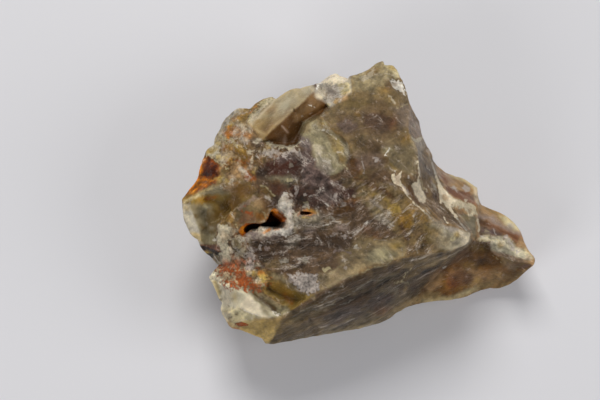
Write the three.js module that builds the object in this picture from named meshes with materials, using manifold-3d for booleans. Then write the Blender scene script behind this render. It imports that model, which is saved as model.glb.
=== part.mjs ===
// A rough piece of limnosilicite, broken chalcedony about 72 mm long, lying on its back with its display face up.
// Units are millimetres. +X runs along the stone, +Y away from the viewer and +Z up from the surface it lies on.
// The origin is on the flat back, in the middle of the stone's length and width.

import * as THREE from "three";
import { mergeVertices } from "three/addons/utils/BufferGeometryUtils.js";
import Module from "manifold-3d";

// Driving dimensions
const FACE_TILT = THREE.MathUtils.degToRad(75); // from the ground to the line of sight onto the display face
const FACE_ORIGIN = new THREE.Vector3(-0.22, -2.01, 25); // where the display face's own origin lies in the stone's frame
const VIEW = { x: -12, y: 1, distance: 400 }; // where the display face was drawn from, over its own plane
const GRAIN = 1.3; // spacing of the face's points
const LINE_STEP = 1.25; // the widest spacing of points along an edge or ledge
const CLEAR_OF_LINES = 0.65; // no free point is nearer than this to an edge
const NEAREST_LINES = 0.45; // a second edge's point this near to a first edge's is left out
const BAND_ROWS = 9; // rows of facets between the rim and the back
const MIDDLE_ROW = 0.45; // where the waist lies between the rim, 0, and the back, 1
const LOWEST_SIDE = 0.8; // how near the sides come to the ground above the flat back
const BACK_GRAIN = 3.2;

// The display face's lines are points [x, y, depth], as seen from VIEW: x right, y up, depth towards the viewer.

const RIM = [
  [-35.6, 1.2, -4], [-34.3, 2.7, -5], [-32.2, 5.4, -6], [-32.1, 7, -6.5], [-31.4, 8.9, -7], [-30.6, 11, -7],
  [-29.2, 12.1, -8], [-28.8, 13.6, -9.5], [-27.8, 15.1, -9], [-27.3, 16.8, -9.5], [-26.2, 17.9, -9.5],
  [-24.6, 19.3, -9], [-22.1, 19.1, -7.5], [-20.3, 20.6, -8], [-18.1, 21.6, -8], [-16.8, 21.2, -6],
  [-15.4, 22.2, -6.5], [-13.2, 23.4, -6.5], [-12, 23.3, -6], [-10.2, 23.9, -6.5], [-8.1, 24.4, -8],
  [-6.4, 25.8, -8.5], [-4.9, 26.3, -8.5], [-3.8, 25.6, -7], [-2.4, 25.1, -6], [-2, 25.8, -6], [0.1, 26.4, -6.5],
  [2, 27.2, -7.5], [3, 28.1, -8], [4.5, 28.9, -8.5], [4.9, 28, -7.5], [6.8, 27.9, -7.5], [7.3, 27, -7],
  [8.1, 25.6, -6.5], [8.9, 23.8, -6], [9.4, 21.8, -5], [9.9, 20.2, -4.5], [10.9, 18.2, -7], [11.9, 16.6, -8.5],
  [12.2, 14.8, -8.5], [12.6, 13.5, -8], [13.4, 11.8, -9], [14.4, 10.2, -10], [14.7, 8.8, -11], [15.4, 7.8, -13],
  [17, 6.6, -15], [19, 5.8, -16], [20.8, 5.2, -16], [22.3, 4.2, -15], [23.6, 3.6, -14], [23.4, 2.4, -13.5],
  [23.3, 1.2, -13.5], [23.8, 0.3, -15], [25.4, -0.5, -16.5], [27.8, -1.5, -17], [29.6, -2.5, -16.5],
  [31, -3.8, -15.5], [32, -5, -14.5], [32.6, -6.6, -13.5], [33.4, -8.6, -12], [34.2, -9.8, -10.5],
  [35.1, -10.6, -10], [34.9, -11.8, -10.5], [34.4, -12.4, -11.5], [33.7, -12.7, -12], [32.2, -14.2, -14.5],
  [31.2, -15.2, -16], [29.4, -16.1, -17.5], [27.2, -16.8, -18.5], [26.2, -16.6, -18], [24.6, -16.9, -18],
  [22.8, -17.6, -18], [21, -18.4, -17.5], [20, -18.6, -17], [17.4, -19.1, -16], [14, -19.3, -15],
  [11, -19.9, -14.5], [9, -20.6, -14], [7.4, -21.6, -13.5], [5, -23.3, -12.5], [0.5, -24.6, -10.5],
  [-6, -25.7, -8], [-12, -26.8, -5], [-17.6, -27.9, -1.5], [-19, -27.8, -1.2], [-19.6, -26.7, -0.6],
  [-22, -25.7, -1], [-24, -24.9, -1.8], [-26.1, -24.6, -3], [-26.6, -23.3, -3], [-27.5, -22.1, -3],
  [-28, -20.8, -3.5], [-27.6, -19.6, -3], [-28.4, -18.6, -3.5], [-28.7, -17.4, -3.5], [-29.4, -15.9, -4],
  [-30.3, -14.5, -4], [-29.6, -13.5, -3.5], [-28.8, -12.8, -3.5], [-28.1, -12.1, -5], [-28.9, -11.3, -7],
  [-30, -10.2, -7], [-31.2, -9.4, -6.5], [-32, -8, -6], [-32.5, -7, -5], [-33.5, -6.5, -5], [-34.4, -5, -4.5],
  [-35.2, -3, -4.5], [-35.5, -1, -4],
];

const EDGES = {
  // the long edge over the lower facet, from the nose to the bottom left corner
  lowerRidge: [
    [21.6, -7.6, 1.2], [17, -9.3, 3], [13, -9.9, 4.8], [9.6, -10.4, 6.4], [6, -11.3, 7.6], [3, -12.4, 8.4],
    [0, -13.5, 9], [-3.6, -15, 9.2], [-6.8, -16.8, 9], [-9.8, -18.2, 8.4], [-13.4, -20.9, 7.2],
    [-15.6, -22.5, 6], [-17.2, -24.3, 4.2], [-18.3, -26.2, 1.6],
  ],
  // the edge between the display face and the glassy right facet
  rightRidge: [
    [9.9, 20.2, -4.5], [9.6, 17, -0.5], [9.7, 14.2, 1.5], [11.3, 12, 2], [11.7, 9, 3], [11.6, 6.6, 4],
    [9.5, 5.4, 4.6], [7.6, 6.8, 4.9], [6.3, 6, 5.1], [6.4, 4.8, 5.2], [8.2, 3.3, 5.3], [10.2, 1, 5.4],
    [12, -0.6, 5.2], [14, -2.6, 4.7], [16, -3.6, 4], [19, -4.2, 3], [21.4, -5.2, 2], [22, -6.2, 1.5],
    [21.6, -7.6, 1.2],
  ],
  rightFacetScoop: [[11.8, 4.4, 1.2], [12.6, 1.6, 1], [14.6, -0.6, 0.6], [17.4, -2.6, 0.4]],
  rightFacetFoot: [
    [14.7, 8.8, -11], [15.2, 6, -7.5], [17, 3, -5.5], [18.8, 1.2, -4.5], [20, -2, -2.8], [21.6, -4.4, -1.2],
  ],
  // the drop from the nose onto the amber facet of the far lobe
  noseLip: [[22, -6.2, 1.5], [21.5, -8.3, 0], [18.3, -10.2, -1], [15.3, -12.7, -4], [12.3, -15.8, -9], [10.6, -18.2, -12]],
  noseFoot: [[22.9, -7, -7], [21.8, -9.3, -8], [18.9, -11.2, -8.5], [15.9, -13.6, -10], [12.9, -16.7, -12.4]],
  // the far lobe
  lobeStep: [[23.3, 1.2, -11.5], [23.2, -1.6, -9.5], [23.3, -4, -8.5], [23.4, -6.2, -8]],
  lobeStepFoot: [[23.9, -0.6, -13.5], [23.9, -2.4, -12.2], [24, -4.4, -10.6], [24.2, -6, -9.4]],
  lobeFold: [[17.6, 4.4, -10.5], [20.4, 2.2, -9.8], [23, 0.2, -10]],
  lobeGroove: [[24.6, -3.4, -12], [28, -4.6, -12.6], [31.6, -6.2, -12.4]],
  chalkLedge: [
    [22.9, -6.6, -6.4], [24.2, -6.6, -8.2], [26, -7.1, -8.6], [28.6, -7.8, -9.2], [30.2, -9, -9.4], [32.4, -10.4, -9.6],
    [35.1, -10.9, -10],
  ],
  chalkFoot: [[24.6, -8.2, -10], [26.4, -8.8, -10.4], [29, -9.8, -11], [31.6, -11.6, -11.4], [33.6, -12.2, -11.6]],
  amberFold: [[24, -11.6, -12.4], [27.4, -12.6, -13.6], [30.8, -13.2, -13.8]],
  // the crystal wedge: one straight sharp edge between a pale and a dark plane
  wedgeEdge: [[-9.2, 22.6, -1.4], [-19, 13.8, 2.6]],
  wedgeBack: [[-19, 13.8, 2.6], [-20.8, 14.7, 0.8], [-22, 16.3, -1.4], [-20, 18.3, -3.2], [-17.6, 20.6, -5.4], [-16.8, 21.2, -6]],
  wedgeTop: [[-9.2, 22.6, -1.4], [-10.2, 23.9, -6.5]],
  wedgeFoot: [
    [-18.2, 12.8, 0.8], [-15, 12.3, 0], [-13.2, 12.6, -0.6], [-12.1, 14.7, -1.6], [-11.3, 16.6, -2.3],
    [-8.2, 18.5, -2.8], [-6.6, 19.8, -3],
  ],
  wedgeStep: [
    [-18.5, 11.9, 3], [-15, 11.4, 3.1], [-12.5, 11.7, 2.8], [-11.3, 14.1, 2.1], [-10.5, 16.1, 1.2],
    [-7.8, 17.6, 0.6], [-5.7, 19.1, 0],
  ],
  // the white recess at the top
  recessLeft: [[-9.2, 22.6, -1.4], [-7.6, 21, -2], [-6, 19.7, -1.4], [-4.6, 20.9, -0.6], [-3, 21.6, -0.8], [-1.8, 23, -1.8], [-1.9, 25, -4.6]],
  recessFloor: [[-7.6, 22.8, -5.2], [-5.4, 22.4, -4.4], [-3.4, 23.4, -4.8]],
  recessFin: [[-8.1, 24.2, -6.4], [-6.2, 25, -6.2], [-4.8, 25.4, -6.4]],
  // the upper right plane and its ledge
  upperLedge: [[-7.2, 16.8, 2.2], [-5.8, 15.2, 2.8], [-3.6, 13.9, 3.4], [-2, 12.2, 4], [-1.3, 10, 4.6], [-0.3, 8, 5], [0.4, 6.4, 5.4]],
  upperLedgeFoot: [[-7.9, 16.2, 1.4], [-6.4, 14.6, 1.9], [-4.1, 13.2, 2.4], [-2.7, 11.7, 3], [-2, 9.7, 3.7], [-1.1, 7.6, 4.4]],
  upperCrown: [[1, 24.6, -3], [3.4, 21, -0.6], [4.2, 16.6, 1.6], [3.6, 12.6, 3.6]],
  summitLedge: [[5.2, 26.4, -5], [5.4, 24, -2.8], [6.2, 21.4, -1.2], [7.6, 20, -1.2], [9.9, 20.2, -4.5]],
  summitFacet: [[6.6, 24.2, -4], [7.8, 22, -3.4]],
  yellowLedge: [[0.4, 12.2, 3.8], [3.6, 12.2, 3.9], [6.8, 13.2, 3.4], [9.7, 13.6, 2]],
  // the dished middle of the display face
  dish: [[-16, 6, 4.2], [-10, 3, 4.4], [-4, 0.6, 4.3], [2, -1, 4.4], [6, -2.6, 4.8]],
  dishLow: [[-19, -8, 5], [-12, -8.4, 5], [-5, -7.6, 5.2], [2, -7, 5.6]],
  palePatch: [[-9.3, 12.4, 3.4], [-9.2, 10.6, 3.9], [-8.6, 8.4, 4.4]],
  noseRise: [[10, -3, 5.8], [14, -5.6, 5], [18.6, -6.8, 3.4]],
  lowRise: [[4, -9.4, 7.4], [-1.6, -11.6, 8], [-6.6, -13.6, 8], [-10.6, -13.8, 7.6]],
  // the crusted left flank
  flankEdge: [[-26.6, 13.6, -3.4], [-28, 11, -3.6], [-28.4, 8.4, -2.4], [-28.2, 6, -0.8], [-30.2, 3.9, -1.2], [-33.4, 1.5, -2.2]],
  crustTop: [[-24.2, 16.8, -4.8], [-21.2, 18.4, -5], [-18.2, 20.6, -6.4]],
  crustMiddle: [[-25, 11.6, 0], [-22, 10.2, 2], [-19, 9.4, 3]],
  // the smooth hollow at the left
  hollowTop: [[-33.4, 1.5, -2.2], [-30, 3.1, 0.4], [-26, 4.3, 2.8], [-22.6, 4.2, 3.8], [-20.4, 2.8, 4.4], [-21.2, 1.2, 4.8]],
  hollowRight: [[-21.2, 1.2, 4.8], [-23.6, 0.3, 4.2], [-25.6, -1.2, 3.4], [-27, -3.6, 2.4], [-28, -6.2, 1.2], [-28.5, -8.6, 0]],
  hollowLeft: [[-33.4, 1.5, -2.2], [-33.7, 0, -2], [-33, -3, -2], [-32.1, -5.2, -2.2], [-31.9, -7.2, -3.4]],
  hollowFloor: [[-30.4, 1.4, -2.4], [-27.6, 0.6, -1.6], [-26.6, -0.6, -1.4]],
  hollowFloorLow: [[-31, -1.8, -3.2], [-30.4, -5, -3.6], [-30, -7, -4]],
  darkCrack: [[-32, -8, -6], [-30, -8.6, -4.6], [-28.5, -9.4, -2.6]],
  // the cavity's raised crust, the notch and the lower left block
  cavityRim: [[-15.4, 2.2, 5.6], [-14.2, 0, 6.2], [-13.9, -2.4, 6.4], [-14.2, -5.2, 6.2], [-17, -5.8, 6], [-20, -6, 5.6], [-24.6, -6.8, 4.4]],
  cavityTop: [[-24.8, -3.8, 4], [-22, -2.2, 5], [-19, 0.6, 5.2]],
  notch: [[-28.1, -12.1, -5], [-26.6, -11.5, -1.4], [-25, -11.3, 1.2]],
  blockTop: [[-28.8, -12.8, -3.5], [-26, -13.4, 1.4], [-22, -13.8, 4.4], [-18.4, -14, 5.6]],
  blockFront: [[-27.4, -16, 1.2], [-24.6, -17.2, 3.8], [-22.4, -17.8, 4.6]],
  blockBase: [[-26.4, -21.6, 0.4], [-24.2, -20.4, 3.4], [-21.4, -21.8, 4.6], [-18.6, -22.4, 5.2]],
  stripeOne: [[-22.4, -17.8, 4.6], [-19.6, -20.2, 5.2], [-17.2, -21.9, 5.6]],
  stripeGroove: [[-21.6, -17, 3.6], [-19, -19.2, 3.9], [-16.2, -21.4, 4.6]],
  stripeTwo: [[-20.4, -16.2, 4.9], [-18, -18.4, 4.8], [-15, -20.7, 5.2]],
  amberTop: [[-19.6, -15.1, 5.2], [-16, -15.6, 5.6], [-13, -17.1, 6.6], [-9.8, -18.2, 8.4]],
  amberFloor: [[-18.2, -16.8, 3.6], [-15.6, -18.2, 3.4], [-12.6, -18.9, 4.6]],
  plateEdge: [[-15, -14.4, 6.6], [-13.4, -16, 6.9], [-11, -17.4, 7.6], [-8.4, -16.8, 8.2], [-8, -14.6, 8]],
  lowerFold: [[-14, -24.2, 3], [-6, -21.6, 2.6], [2, -18.8, 1.6], [9, -15.4, -1.2], [14, -12.6, -2.4]],
};

// Corners of the stone's waist, hidden behind the rim, as points of the display face
const WAIST = [
  [-33, 0.5, -12], [-29.4, 9, -15], [-23.6, 17, -17], [-12, 21.6, -15.5], [-1, 23.6, -19], [5.6, 25.6, -19],
  [9.8, 16, -16], [13.4, 7, -20], [21.6, 2, -21], [30.4, -5, -20], [32.8, -11.4, -17], [26, -15.4, -23],
  [15, -17.6, -21], [4, -22, -17], [-8, -24.6, -13], [-18.4, -25.6, -10], [-25.4, -22, -11], [-26.8, -13.4, -13],
  [-29, -8.4, -13],
];

// Corners of the flat back on the ground, [x, y] in the stone's own frame
const BACK = [
  [-27, 2], [-25.6, 13], [-17, 22], [-6, 24.4], [4.6, 25.4], [9.6, 17], [13.6, 8.6], [22, 3.6], [23.4, -5],
  [16, -12.6], [4, -15.4], [-9, -18.4], [-19, -17.4], [-24.4, -10],
];

// Shell-shaped breaks in the sides: a sphere's centre and radius, in the stone's own frame
const SCOOPS = [
  { centre: [-48, 22, 6], radius: 21 },
  { centre: [-22, 43, 14], radius: 21 },
  { centre: [30, 38, 20], radius: 26 },
  { centre: [44, -24, -4], radius: 22 },
  { centre: [6, -42, 2], radius: 23 },
  { centre: [-34, -32, 0], radius: 19 },
  { centre: [-2, 50, 8], radius: 25 },
];

// The dark cavity's mouth, and the small slot beside it, [x, y] on the display face
const CAVITY = {
  mouth: [
    [-24.3, -5], [-23.6, -4.2], [-22.2, -3.6], [-19.9, -3.8], [-18.6, -3.1], [-18, -1.9], [-17.7, -0.9], [-17, -0.8],
    [-16.5, -1.6], [-15.6, -2.2], [-14.9, -2.7], [-15.2, -3.8], [-15.9, -4.5], [-17.2, -4.7], [-19.2, -4.5],
    [-20.2, -4.3], [-20.8, -5], [-22.3, -5], [-23.1, -5.8], [-23.6, -6.1], [-24.1, -5.8],
  ],
  floor: 0.2,
  taper: 0.62,
};
const SLOT = {
  mouth: [[-12.5, -1.7], [-12.1, -1.2], [-11, -1.1], [-9.6, -1.3], [-9, -1.7], [-10.2, -2.1], [-12, -2.1]],
  floor: 3.4,
  taper: 0.7,
};
const ABOVE_FACE = 9; // depth from which the pockets are cut

// Round knobs of chalcedony crust on the face: [x, y, radius, rise]
const KNOBS = [
  [-25.6, 17.2, 2.2, 1.3], [-27.2, 14.6, 1.8, 1.1], [-22.8, 17.4, 1.8, 0.9], [-23.6, 14.6, 2, 1], [-26.2, 12, 1.9, 0.9],
  [-22.6, 12.6, 1.7, 0.7], [-29.6, 10.4, 1.5, 0.9], [-26.6, 9.2, 1.7, 1], [-24, 7.6, 1.8, 0.8], [-29.6, 7, 1.8, 0.9],
  [-31, 5.4, 1.4, 0.6], [-21.4, 8.4, 1.6, 0.7], [-17.4, 10.8, 1.6, 0.6], [-21.4, -0.8, 2.6, 1.1], [-23.4, 1.2, 1.6, 0.5],
  [-19, 2, 1.6, 0.8], [-27.2, -6.4, 1.5, 0.8], [-26.6, -9.4, 1.6, 0.8], [-24.2, -8, 1.8, 1.2], [-25, -11, 1.4, 0.7],
  [-23.4, -12.4, 1.3, 0.7], [-20.8, -12.3, 1.2, 0.6], [-34.4, -1.8, 1.4, 0.7], [-33.8, -4.6, 1.3, 0.6],
  [-25.8, -22.4, 1.8, 0.7], [-23.4, -23.8, 1.4, 0.5], [21.4, -1.6, 1.8, 0.8], [19.8, -0.4, 1.3, 0.5],
  [28.6, -7.6, 1.4, 0.5], [25.2, -6.8, 1.2, 0.5], [31.4, -9.2, 1.2, 0.4], [-12.9, 2.8, 1.3, 0.6], [-15, 0.6, 1.2, 0.6],
  [-13.6, -3.4, 1.1, 0.5], [-5.2, -13.2, 1.6, 0.5], [-11, -15.4, 3, 0.6],
];

// Small quartz crystals that stand out of the crust: [x, y, radius]
const CRYSTALS = [
  [-24.4, -7.6, 1.2], [-25.8, -9.3, 0.9], [-22.2, -11.6, 0.9], [-20.4, -12, 0.8], [-15.4, -0.2, 0.9], [-14.3, -4.8, 1],
  [-13.2, 3, 0.9], [-13.8, -2.6, 0.8],
];
const CRYSTAL_BURIAL = 0.55; // how deep a crystal's middle lies under the face, as a share of its radius

// From the display face's coordinates, as seen from VIEW, to the stone's own frame.
function facePoint([x, y, depth]) {
  const shrink = (VIEW.distance - depth) / VIEW.distance;
  const right = VIEW.x + (x - VIEW.x) * shrink;
  const up = VIEW.y + (y - VIEW.y) * shrink;
  return new THREE.Vector3(
    right,
    up * Math.sin(FACE_TILT) - depth * Math.cos(FACE_TILT),
    up * Math.cos(FACE_TILT) + depth * Math.sin(FACE_TILT),
  ).add(FACE_ORIGIN);
}

// A repeatable pseudo-random number from 0 to 1 for three whole numbers.
function hash(i, j, k) {
  const s = Math.sin(i * 127.1 + j * 311.7 + k * 74.7) * 43758.5453;
  return s - Math.floor(s);
}

// Smooth value noise from -1 to 1.
function noise(x, y, z) {
  const [i, j, k] = [Math.floor(x), Math.floor(y), Math.floor(z)];
  const ease = (t) => t * t * (3 - 2 * t);
  const [u, v, w] = [ease(x - i), ease(y - j), ease(z - k)];
  const mix = THREE.MathUtils.lerp;
  const edge = (b, c) => mix(hash(i, j + b, k + c), hash(i + 1, j + b, k + c), u);
  return 2 * mix(mix(edge(0, 0), edge(1, 0), v), mix(edge(0, 1), edge(1, 1), v), w) - 1;
}

// Points along a line of corners, at most step apart. A closed line doesn't repeat its first point.
function alongLine(corners, step, closed = false) {
  const points = [];
  const last = closed ? corners.length : corners.length - 1;
  for (let i = 0; i < last; i++) {
    const a = corners[i];
    const b = corners[(i + 1) % corners.length];
    const pieces = Math.ceil(Math.hypot(b[0] - a[0], b[1] - a[1]) / step);
    for (let k = 0; k < pieces; k++) points.push(a.map((v, n) => v + ((b[n] - v) * k) / pieces));
  }
  if (!closed) points.push(corners.at(-1));
  return points;
}

function inside([x, y], outline) {
  let odd = false;
  outline.forEach((a, i) => {
    const b = outline[(i + 1) % outline.length];
    if (a[1] > y !== b[1] > y && x < a[0] + ((y - a[1]) / (b[1] - a[1])) * (b[0] - a[0])) odd = !odd;
  });
  return odd;
}

// Delaunay triangles of points [x, y, ...], by adding one point at a time.
function triangulate(points) {
  const far = 1e4;
  const all = [...points, [-far, -far], [far, -far], [0, far]];
  const circle = (t) => {
    const [a, b, c] = t.map((i) => all[i]);
    const d = 2 * (a[0] * (b[1] - c[1]) + b[0] * (c[1] - a[1]) + c[0] * (a[1] - b[1]));
    const [a2, b2, c2] = [a, b, c].map((p) => p[0] * p[0] + p[1] * p[1]);
    const x = (a2 * (b[1] - c[1]) + b2 * (c[1] - a[1]) + c2 * (a[1] - b[1])) / d;
    const y = (a2 * (c[0] - b[0]) + b2 * (a[0] - c[0]) + c2 * (b[0] - a[0])) / d;
    return { t, x, y, r2: (a[0] - x) ** 2 + (a[1] - y) ** 2 };
  };
  const n = points.length;
  const leftToRight = points.map((_, i) => i).sort((i, j) => points[i][0] - points[j][0]);
  const settled = [];
  let circles = [circle([n, n + 1, n + 2])];
  for (const i of leftToRight) {
    const p = points[i];
    const open = new Map();
    const kept = [];
    for (const c of circles) {
      if (p[0] > c.x && (p[0] - c.x) ** 2 >= c.r2) {
        settled.push(c);
        continue;
      }
      if ((p[0] - c.x) ** 2 + (p[1] - c.y) ** 2 >= c.r2) {
        kept.push(c);
        continue;
      }
      for (const e of [0, 1, 2]) {
        const [u, v] = [c.t[e], c.t[(e + 1) % 3]];
        if (!open.delete(`${v},${u}`)) open.set(`${u},${v}`, [u, v]);
      }
    }
    for (const [u, v] of open.values()) kept.push(circle([u, v, i]));
    circles = kept;
  }
  return [...settled, ...circles].map((c) => c.t).filter((t) => t.every((i) => i < n));
}

// Adds the points of a triangular grid that lie in an outline and clear of the points already there.
function fillWithGrid(points, outline, grain, clear) {
  const xs = outline.map((p) => p[0]);
  const ys = outline.map((p) => p[1]);
  const rowHeight = (grain * Math.sqrt(3)) / 2;
  const fixed = [...points];
  for (let row = 0; Math.min(...ys) + row * rowHeight < Math.max(...ys); row++) {
    for (let column = 0; Math.min(...xs) + column * grain < Math.max(...xs); column++) {
      const jitter = [0, 1].map((n) => (hash(row, column, n) - 0.5) * 0.45 * grain);
      const x = Math.min(...xs) + (column + (row % 2) / 2) * grain + jitter[0];
      const y = Math.min(...ys) + row * rowHeight + jitter[1];
      const isClear = fixed.every((p) => Math.hypot(p[0] - x, p[1] - y) > clear);
      if (isClear && inside([x, y], outline)) points.push([x, y, 0]);
    }
  }
}

// Spans the free points between the fixed ones like a skin stretched over the edges.
function relaxDepths(points, triangles, fixedCount) {
  const near = points.map(() => new Set());
  for (const t of triangles) for (const i of t) for (const j of t) if (i !== j) near[i].add(j);
  const neighbours = near.map((s) => [...s]);
  for (let round = 0; round < 400; round++) {
    for (let i = fixedCount; i < points.length; i++) {
      const sum = neighbours[i].reduce((total, j) => total + points[j][2], 0);
      points[i][2] = sum / neighbours[i].length;
    }
  }
}

// The display face: points on the rim come first, in order, then the edges, then the free points.
function displayFace() {
  const rim = alongLine(RIM, LINE_STEP, true);
  const points = [...rim];
  for (const line of Object.values(EDGES)) {
    for (const p of alongLine(line, LINE_STEP)) {
      if (points.every((q) => Math.hypot(p[0] - q[0], p[1] - q[1]) > NEAREST_LINES)) points.push(p);
    }
  }
  const fixedCount = points.length;
  fillWithGrid(points, rim, GRAIN, CLEAR_OF_LINES);
  const middle = (t) => [0, 1].map((n) => t.reduce((sum, i) => sum + points[i][n], 0) / 3);
  const triangles = triangulate(points).filter((t) => inside(middle(t), rim));
  relaxDepths(points, triangles, fixedCount);
  for (let i = rim.length; i < points.length; i++) {
    const [x, y] = points[i];
    const crusted = THREE.MathUtils.smoothstep(-x, 0, 18);
    const rough = 0.22 * noise(x / 2.6, y / 2.6, 3) + 0.12 * noise(x / 1.3, y / 1.3, 7);
    points[i][2] += rough * (0.4 + 0.6 * crusted) + knobRise(x, y);
  }
  return { rimCount: rim.length, points, vertices: points.map(facePoint), triangles };
}

// How far the knobs of crust lift the face at a point.
function knobRise(x, y) {
  const rises = KNOBS.map(([cx, cy, radius, rise]) => {
    const share = Math.hypot(x - cx, y - cy) / radius;
    return share < 1 ? rise * Math.sqrt(1 - share * share) : 0;
  });
  return Math.max(...rises);
}

// Where a ray from the middle, at an angle in plan, crosses a ring of corners.
function onRing(ring, middle, angle) {
  const direction = new THREE.Vector3(Math.cos(angle), Math.sin(angle), 0);
  for (let i = 0; i < ring.length; i++) {
    const a = ring[i];
    const along = ring[(i + 1) % ring.length].clone().sub(a);
    const from = middle.clone().sub(a);
    const cross = along.x * direction.y - along.y * direction.x;
    const share = (from.x * direction.y - from.y * direction.x) / cross;
    const reach = (from.x * along.y - from.y * along.x) / cross;
    if (reach > 0 && share >= 0 && share <= 1) return a.clone().addScaledVector(along, share);
  }
  throw new Error(`the ring is open at ${angle}`);
}

// Pushes a point of the sides out of the shell-shaped breaks, and roughens it.
function weather(point, middle, strength) {
  const inwards = middle.clone().sub(point).setZ(0).normalize();
  const moved = point.clone();
  for (const { centre, radius } of SCOOPS) {
    const from = moved.clone().sub(new THREE.Vector3(...centre));
    const reach = radius - from.length();
    if (reach > 0) moved.addScaledVector(from.normalize(), reach * strength);
  }
  const { x, y, z } = point;
  const rough = 0.9 * noise(x / 7, y / 7, z / 7) + 0.45 * noise(x / 2.8, y / 2.8, z / 2.8 + 9);
  moved.addScaledVector(inwards, rough * strength);
  moved.z = Math.max(moved.z, LOWEST_SIDE * strength);
  return moved;
}

// The sides: rows of points from the rim over the waist to the flat back.
function addSides(vertices, triangles, rimCount) {
  const middle = new THREE.Vector3(-2, 1, 0);
  const waist = WAIST.map(facePoint);
  const back = BACK.map(([x, y]) => new THREE.Vector3(x, y, 0));
  let above = Array.from({ length: rimCount }, (_, i) => i);
  for (let row = 1; row <= BAND_ROWS; row++) {
    const share = row / BAND_ROWS;
    const strength = row === BAND_ROWS ? 0 : Math.min(1, share / 0.25) * Math.min(1, (1 - share) / 0.15);
    const below = [];
    for (let i = 0; i < rimCount; i++) {
      const rim = vertices[i];
      const angle = Math.atan2(rim.y - middle.y, rim.x - middle.x);
      const atWaist = onRing(waist, middle, angle);
      const atBack = onRing(back, middle, angle);
      const point =
        share < MIDDLE_ROW
          ? rim.clone().lerp(atWaist, share / MIDDLE_ROW)
          : atWaist.lerp(atBack, (share - MIDDLE_ROW) / (1 - MIDDLE_ROW));
      below.push(vertices.push(weather(point, middle, strength)) - 1);
    }
    for (let i = 0; i < rimCount; i++) {
      const next = (i + 1) % rimCount;
      triangles.push([above[i], above[next], below[next]], [above[i], below[next], below[i]]);
    }
    above = below;
  }
  return above;
}

// The flat back that the stone lies on.
function addBack(vertices, triangles, ring) {
  const outline = ring.map((i) => [vertices[i].x, vertices[i].y, 0]);
  const points = [...outline];
  fillWithGrid(points, outline, BACK_GRAIN, 0.55 * BACK_GRAIN);
  const index = points.map((p, i) => (i < ring.length ? ring[i] : vertices.push(new THREE.Vector3(p[0], p[1], 0)) - 1));
  const middle = (t) => [0, 1].map((n) => t.reduce((sum, i) => sum + points[i][n], 0) / 3);
  for (const t of triangulate(points)) {
    if (inside(middle(t), outline)) triangles.push([index[t[0]], index[t[2]], index[t[1]]]);
  }
}

function geometryOf(vertices, triangles) {
  return new THREE.BufferGeometry().setFromPoints(vertices).setIndex(triangles.flat());
}

// A pocket cut into the face: its mouth narrows to the floor.
function pocketGeometry({ mouth, floor, taper }) {
  const middle = [0, 1].map((n) => mouth.reduce((sum, p) => sum + p[n], 0) / mouth.length);
  const top = mouth.map(([x, y]) => facePoint([x, y, ABOVE_FACE]));
  const bottom = mouth.map(([x, y]) =>
    facePoint([middle[0] + (x - middle[0]) * taper, middle[1] + (y - middle[1]) * taper, floor]),
  );
  const outline = mouth.map(([x, y]) => new THREE.Vector2(x, y));
  if (!THREE.ShapeUtils.isClockWise(outline)) throw new Error("a pocket's mouth runs clockwise");
  const n = mouth.length;
  const caps = THREE.ShapeUtils.triangulateShape([...outline], []);
  const triangles = [];
  const up = (t) => (THREE.ShapeUtils.area(t.map((i) => outline[i])) > 0 ? t : [t[0], t[2], t[1]]);
  for (const t of caps.map(up)) {
    triangles.push(t, [t[0] + n, t[2] + n, t[1] + n]);
  }
  for (let i = 0; i < n; i++) {
    const next = (i + 1) % n;
    triangles.push([i, next, next + n], [i, next + n, i + n]);
  }
  return geometryOf([...top, ...bottom], triangles);
}

// A stubby six-sided crystal with a pointed end, leaning its own way out of the face.
function crystalGeometry([x, y, radius], number, facePoints) {
  const away = (p) => Math.hypot(p[0] - x, p[1] - y);
  const depth = facePoints.reduce((nearest, p) => (away(p) < away(nearest) ? p : nearest))[2] - CRYSTAL_BURIAL * radius;
  const body = new THREE.CylinderGeometry(radius, radius, 1.6 * radius, 6);
  const tip = new THREE.Vector3(0, 1.55 * radius, 0);
  const merged = bareGeometry(body);
  const top = merged.getAttribute("position");
  for (let i = 0; i < top.count; i++) {
    const isCentre = Math.hypot(top.getX(i), top.getZ(i)) < 1e-6 && top.getY(i) > 0;
    if (isCentre) top.setXYZ(i, tip.x, tip.y, tip.z);
  }
  const lean = new THREE.Euler(Math.PI / 2 - 0.5 + hash(number, 1, 1), 6 * hash(number, 2, 2), hash(number, 3, 3) - 0.5);
  const middle = facePoint([x, y, depth]);
  return merged.applyMatrix4(new THREE.Matrix4().makeRotationFromEuler(lean)).translate(middle.x, middle.y, middle.z);
}

// A geometry with only its positions, and shared corners merged.
function bareGeometry(geometry) {
  geometry.deleteAttribute("normal");
  geometry.deleteAttribute("uv");
  return mergeVertices(geometry, 1e-4);
}

const wasm = await Module();
wasm.setup();

function solidOf(geometry) {
  return new wasm.Manifold(
    new wasm.Mesh({
      numProp: 3,
      vertProperties: Float32Array.from(geometry.getAttribute("position").array),
      triVerts: Uint32Array.from(geometry.index.array),
    }),
  );
}

function geometryOfSolid(solid) {
  const { vertProperties, triVerts } = solid.getMesh();
  const geometry = new THREE.BufferGeometry();
  geometry.setAttribute("position", new THREE.BufferAttribute(vertProperties, 3));
  geometry.setIndex(new THREE.BufferAttribute(triVerts, 1));
  return geometry;
}

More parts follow.
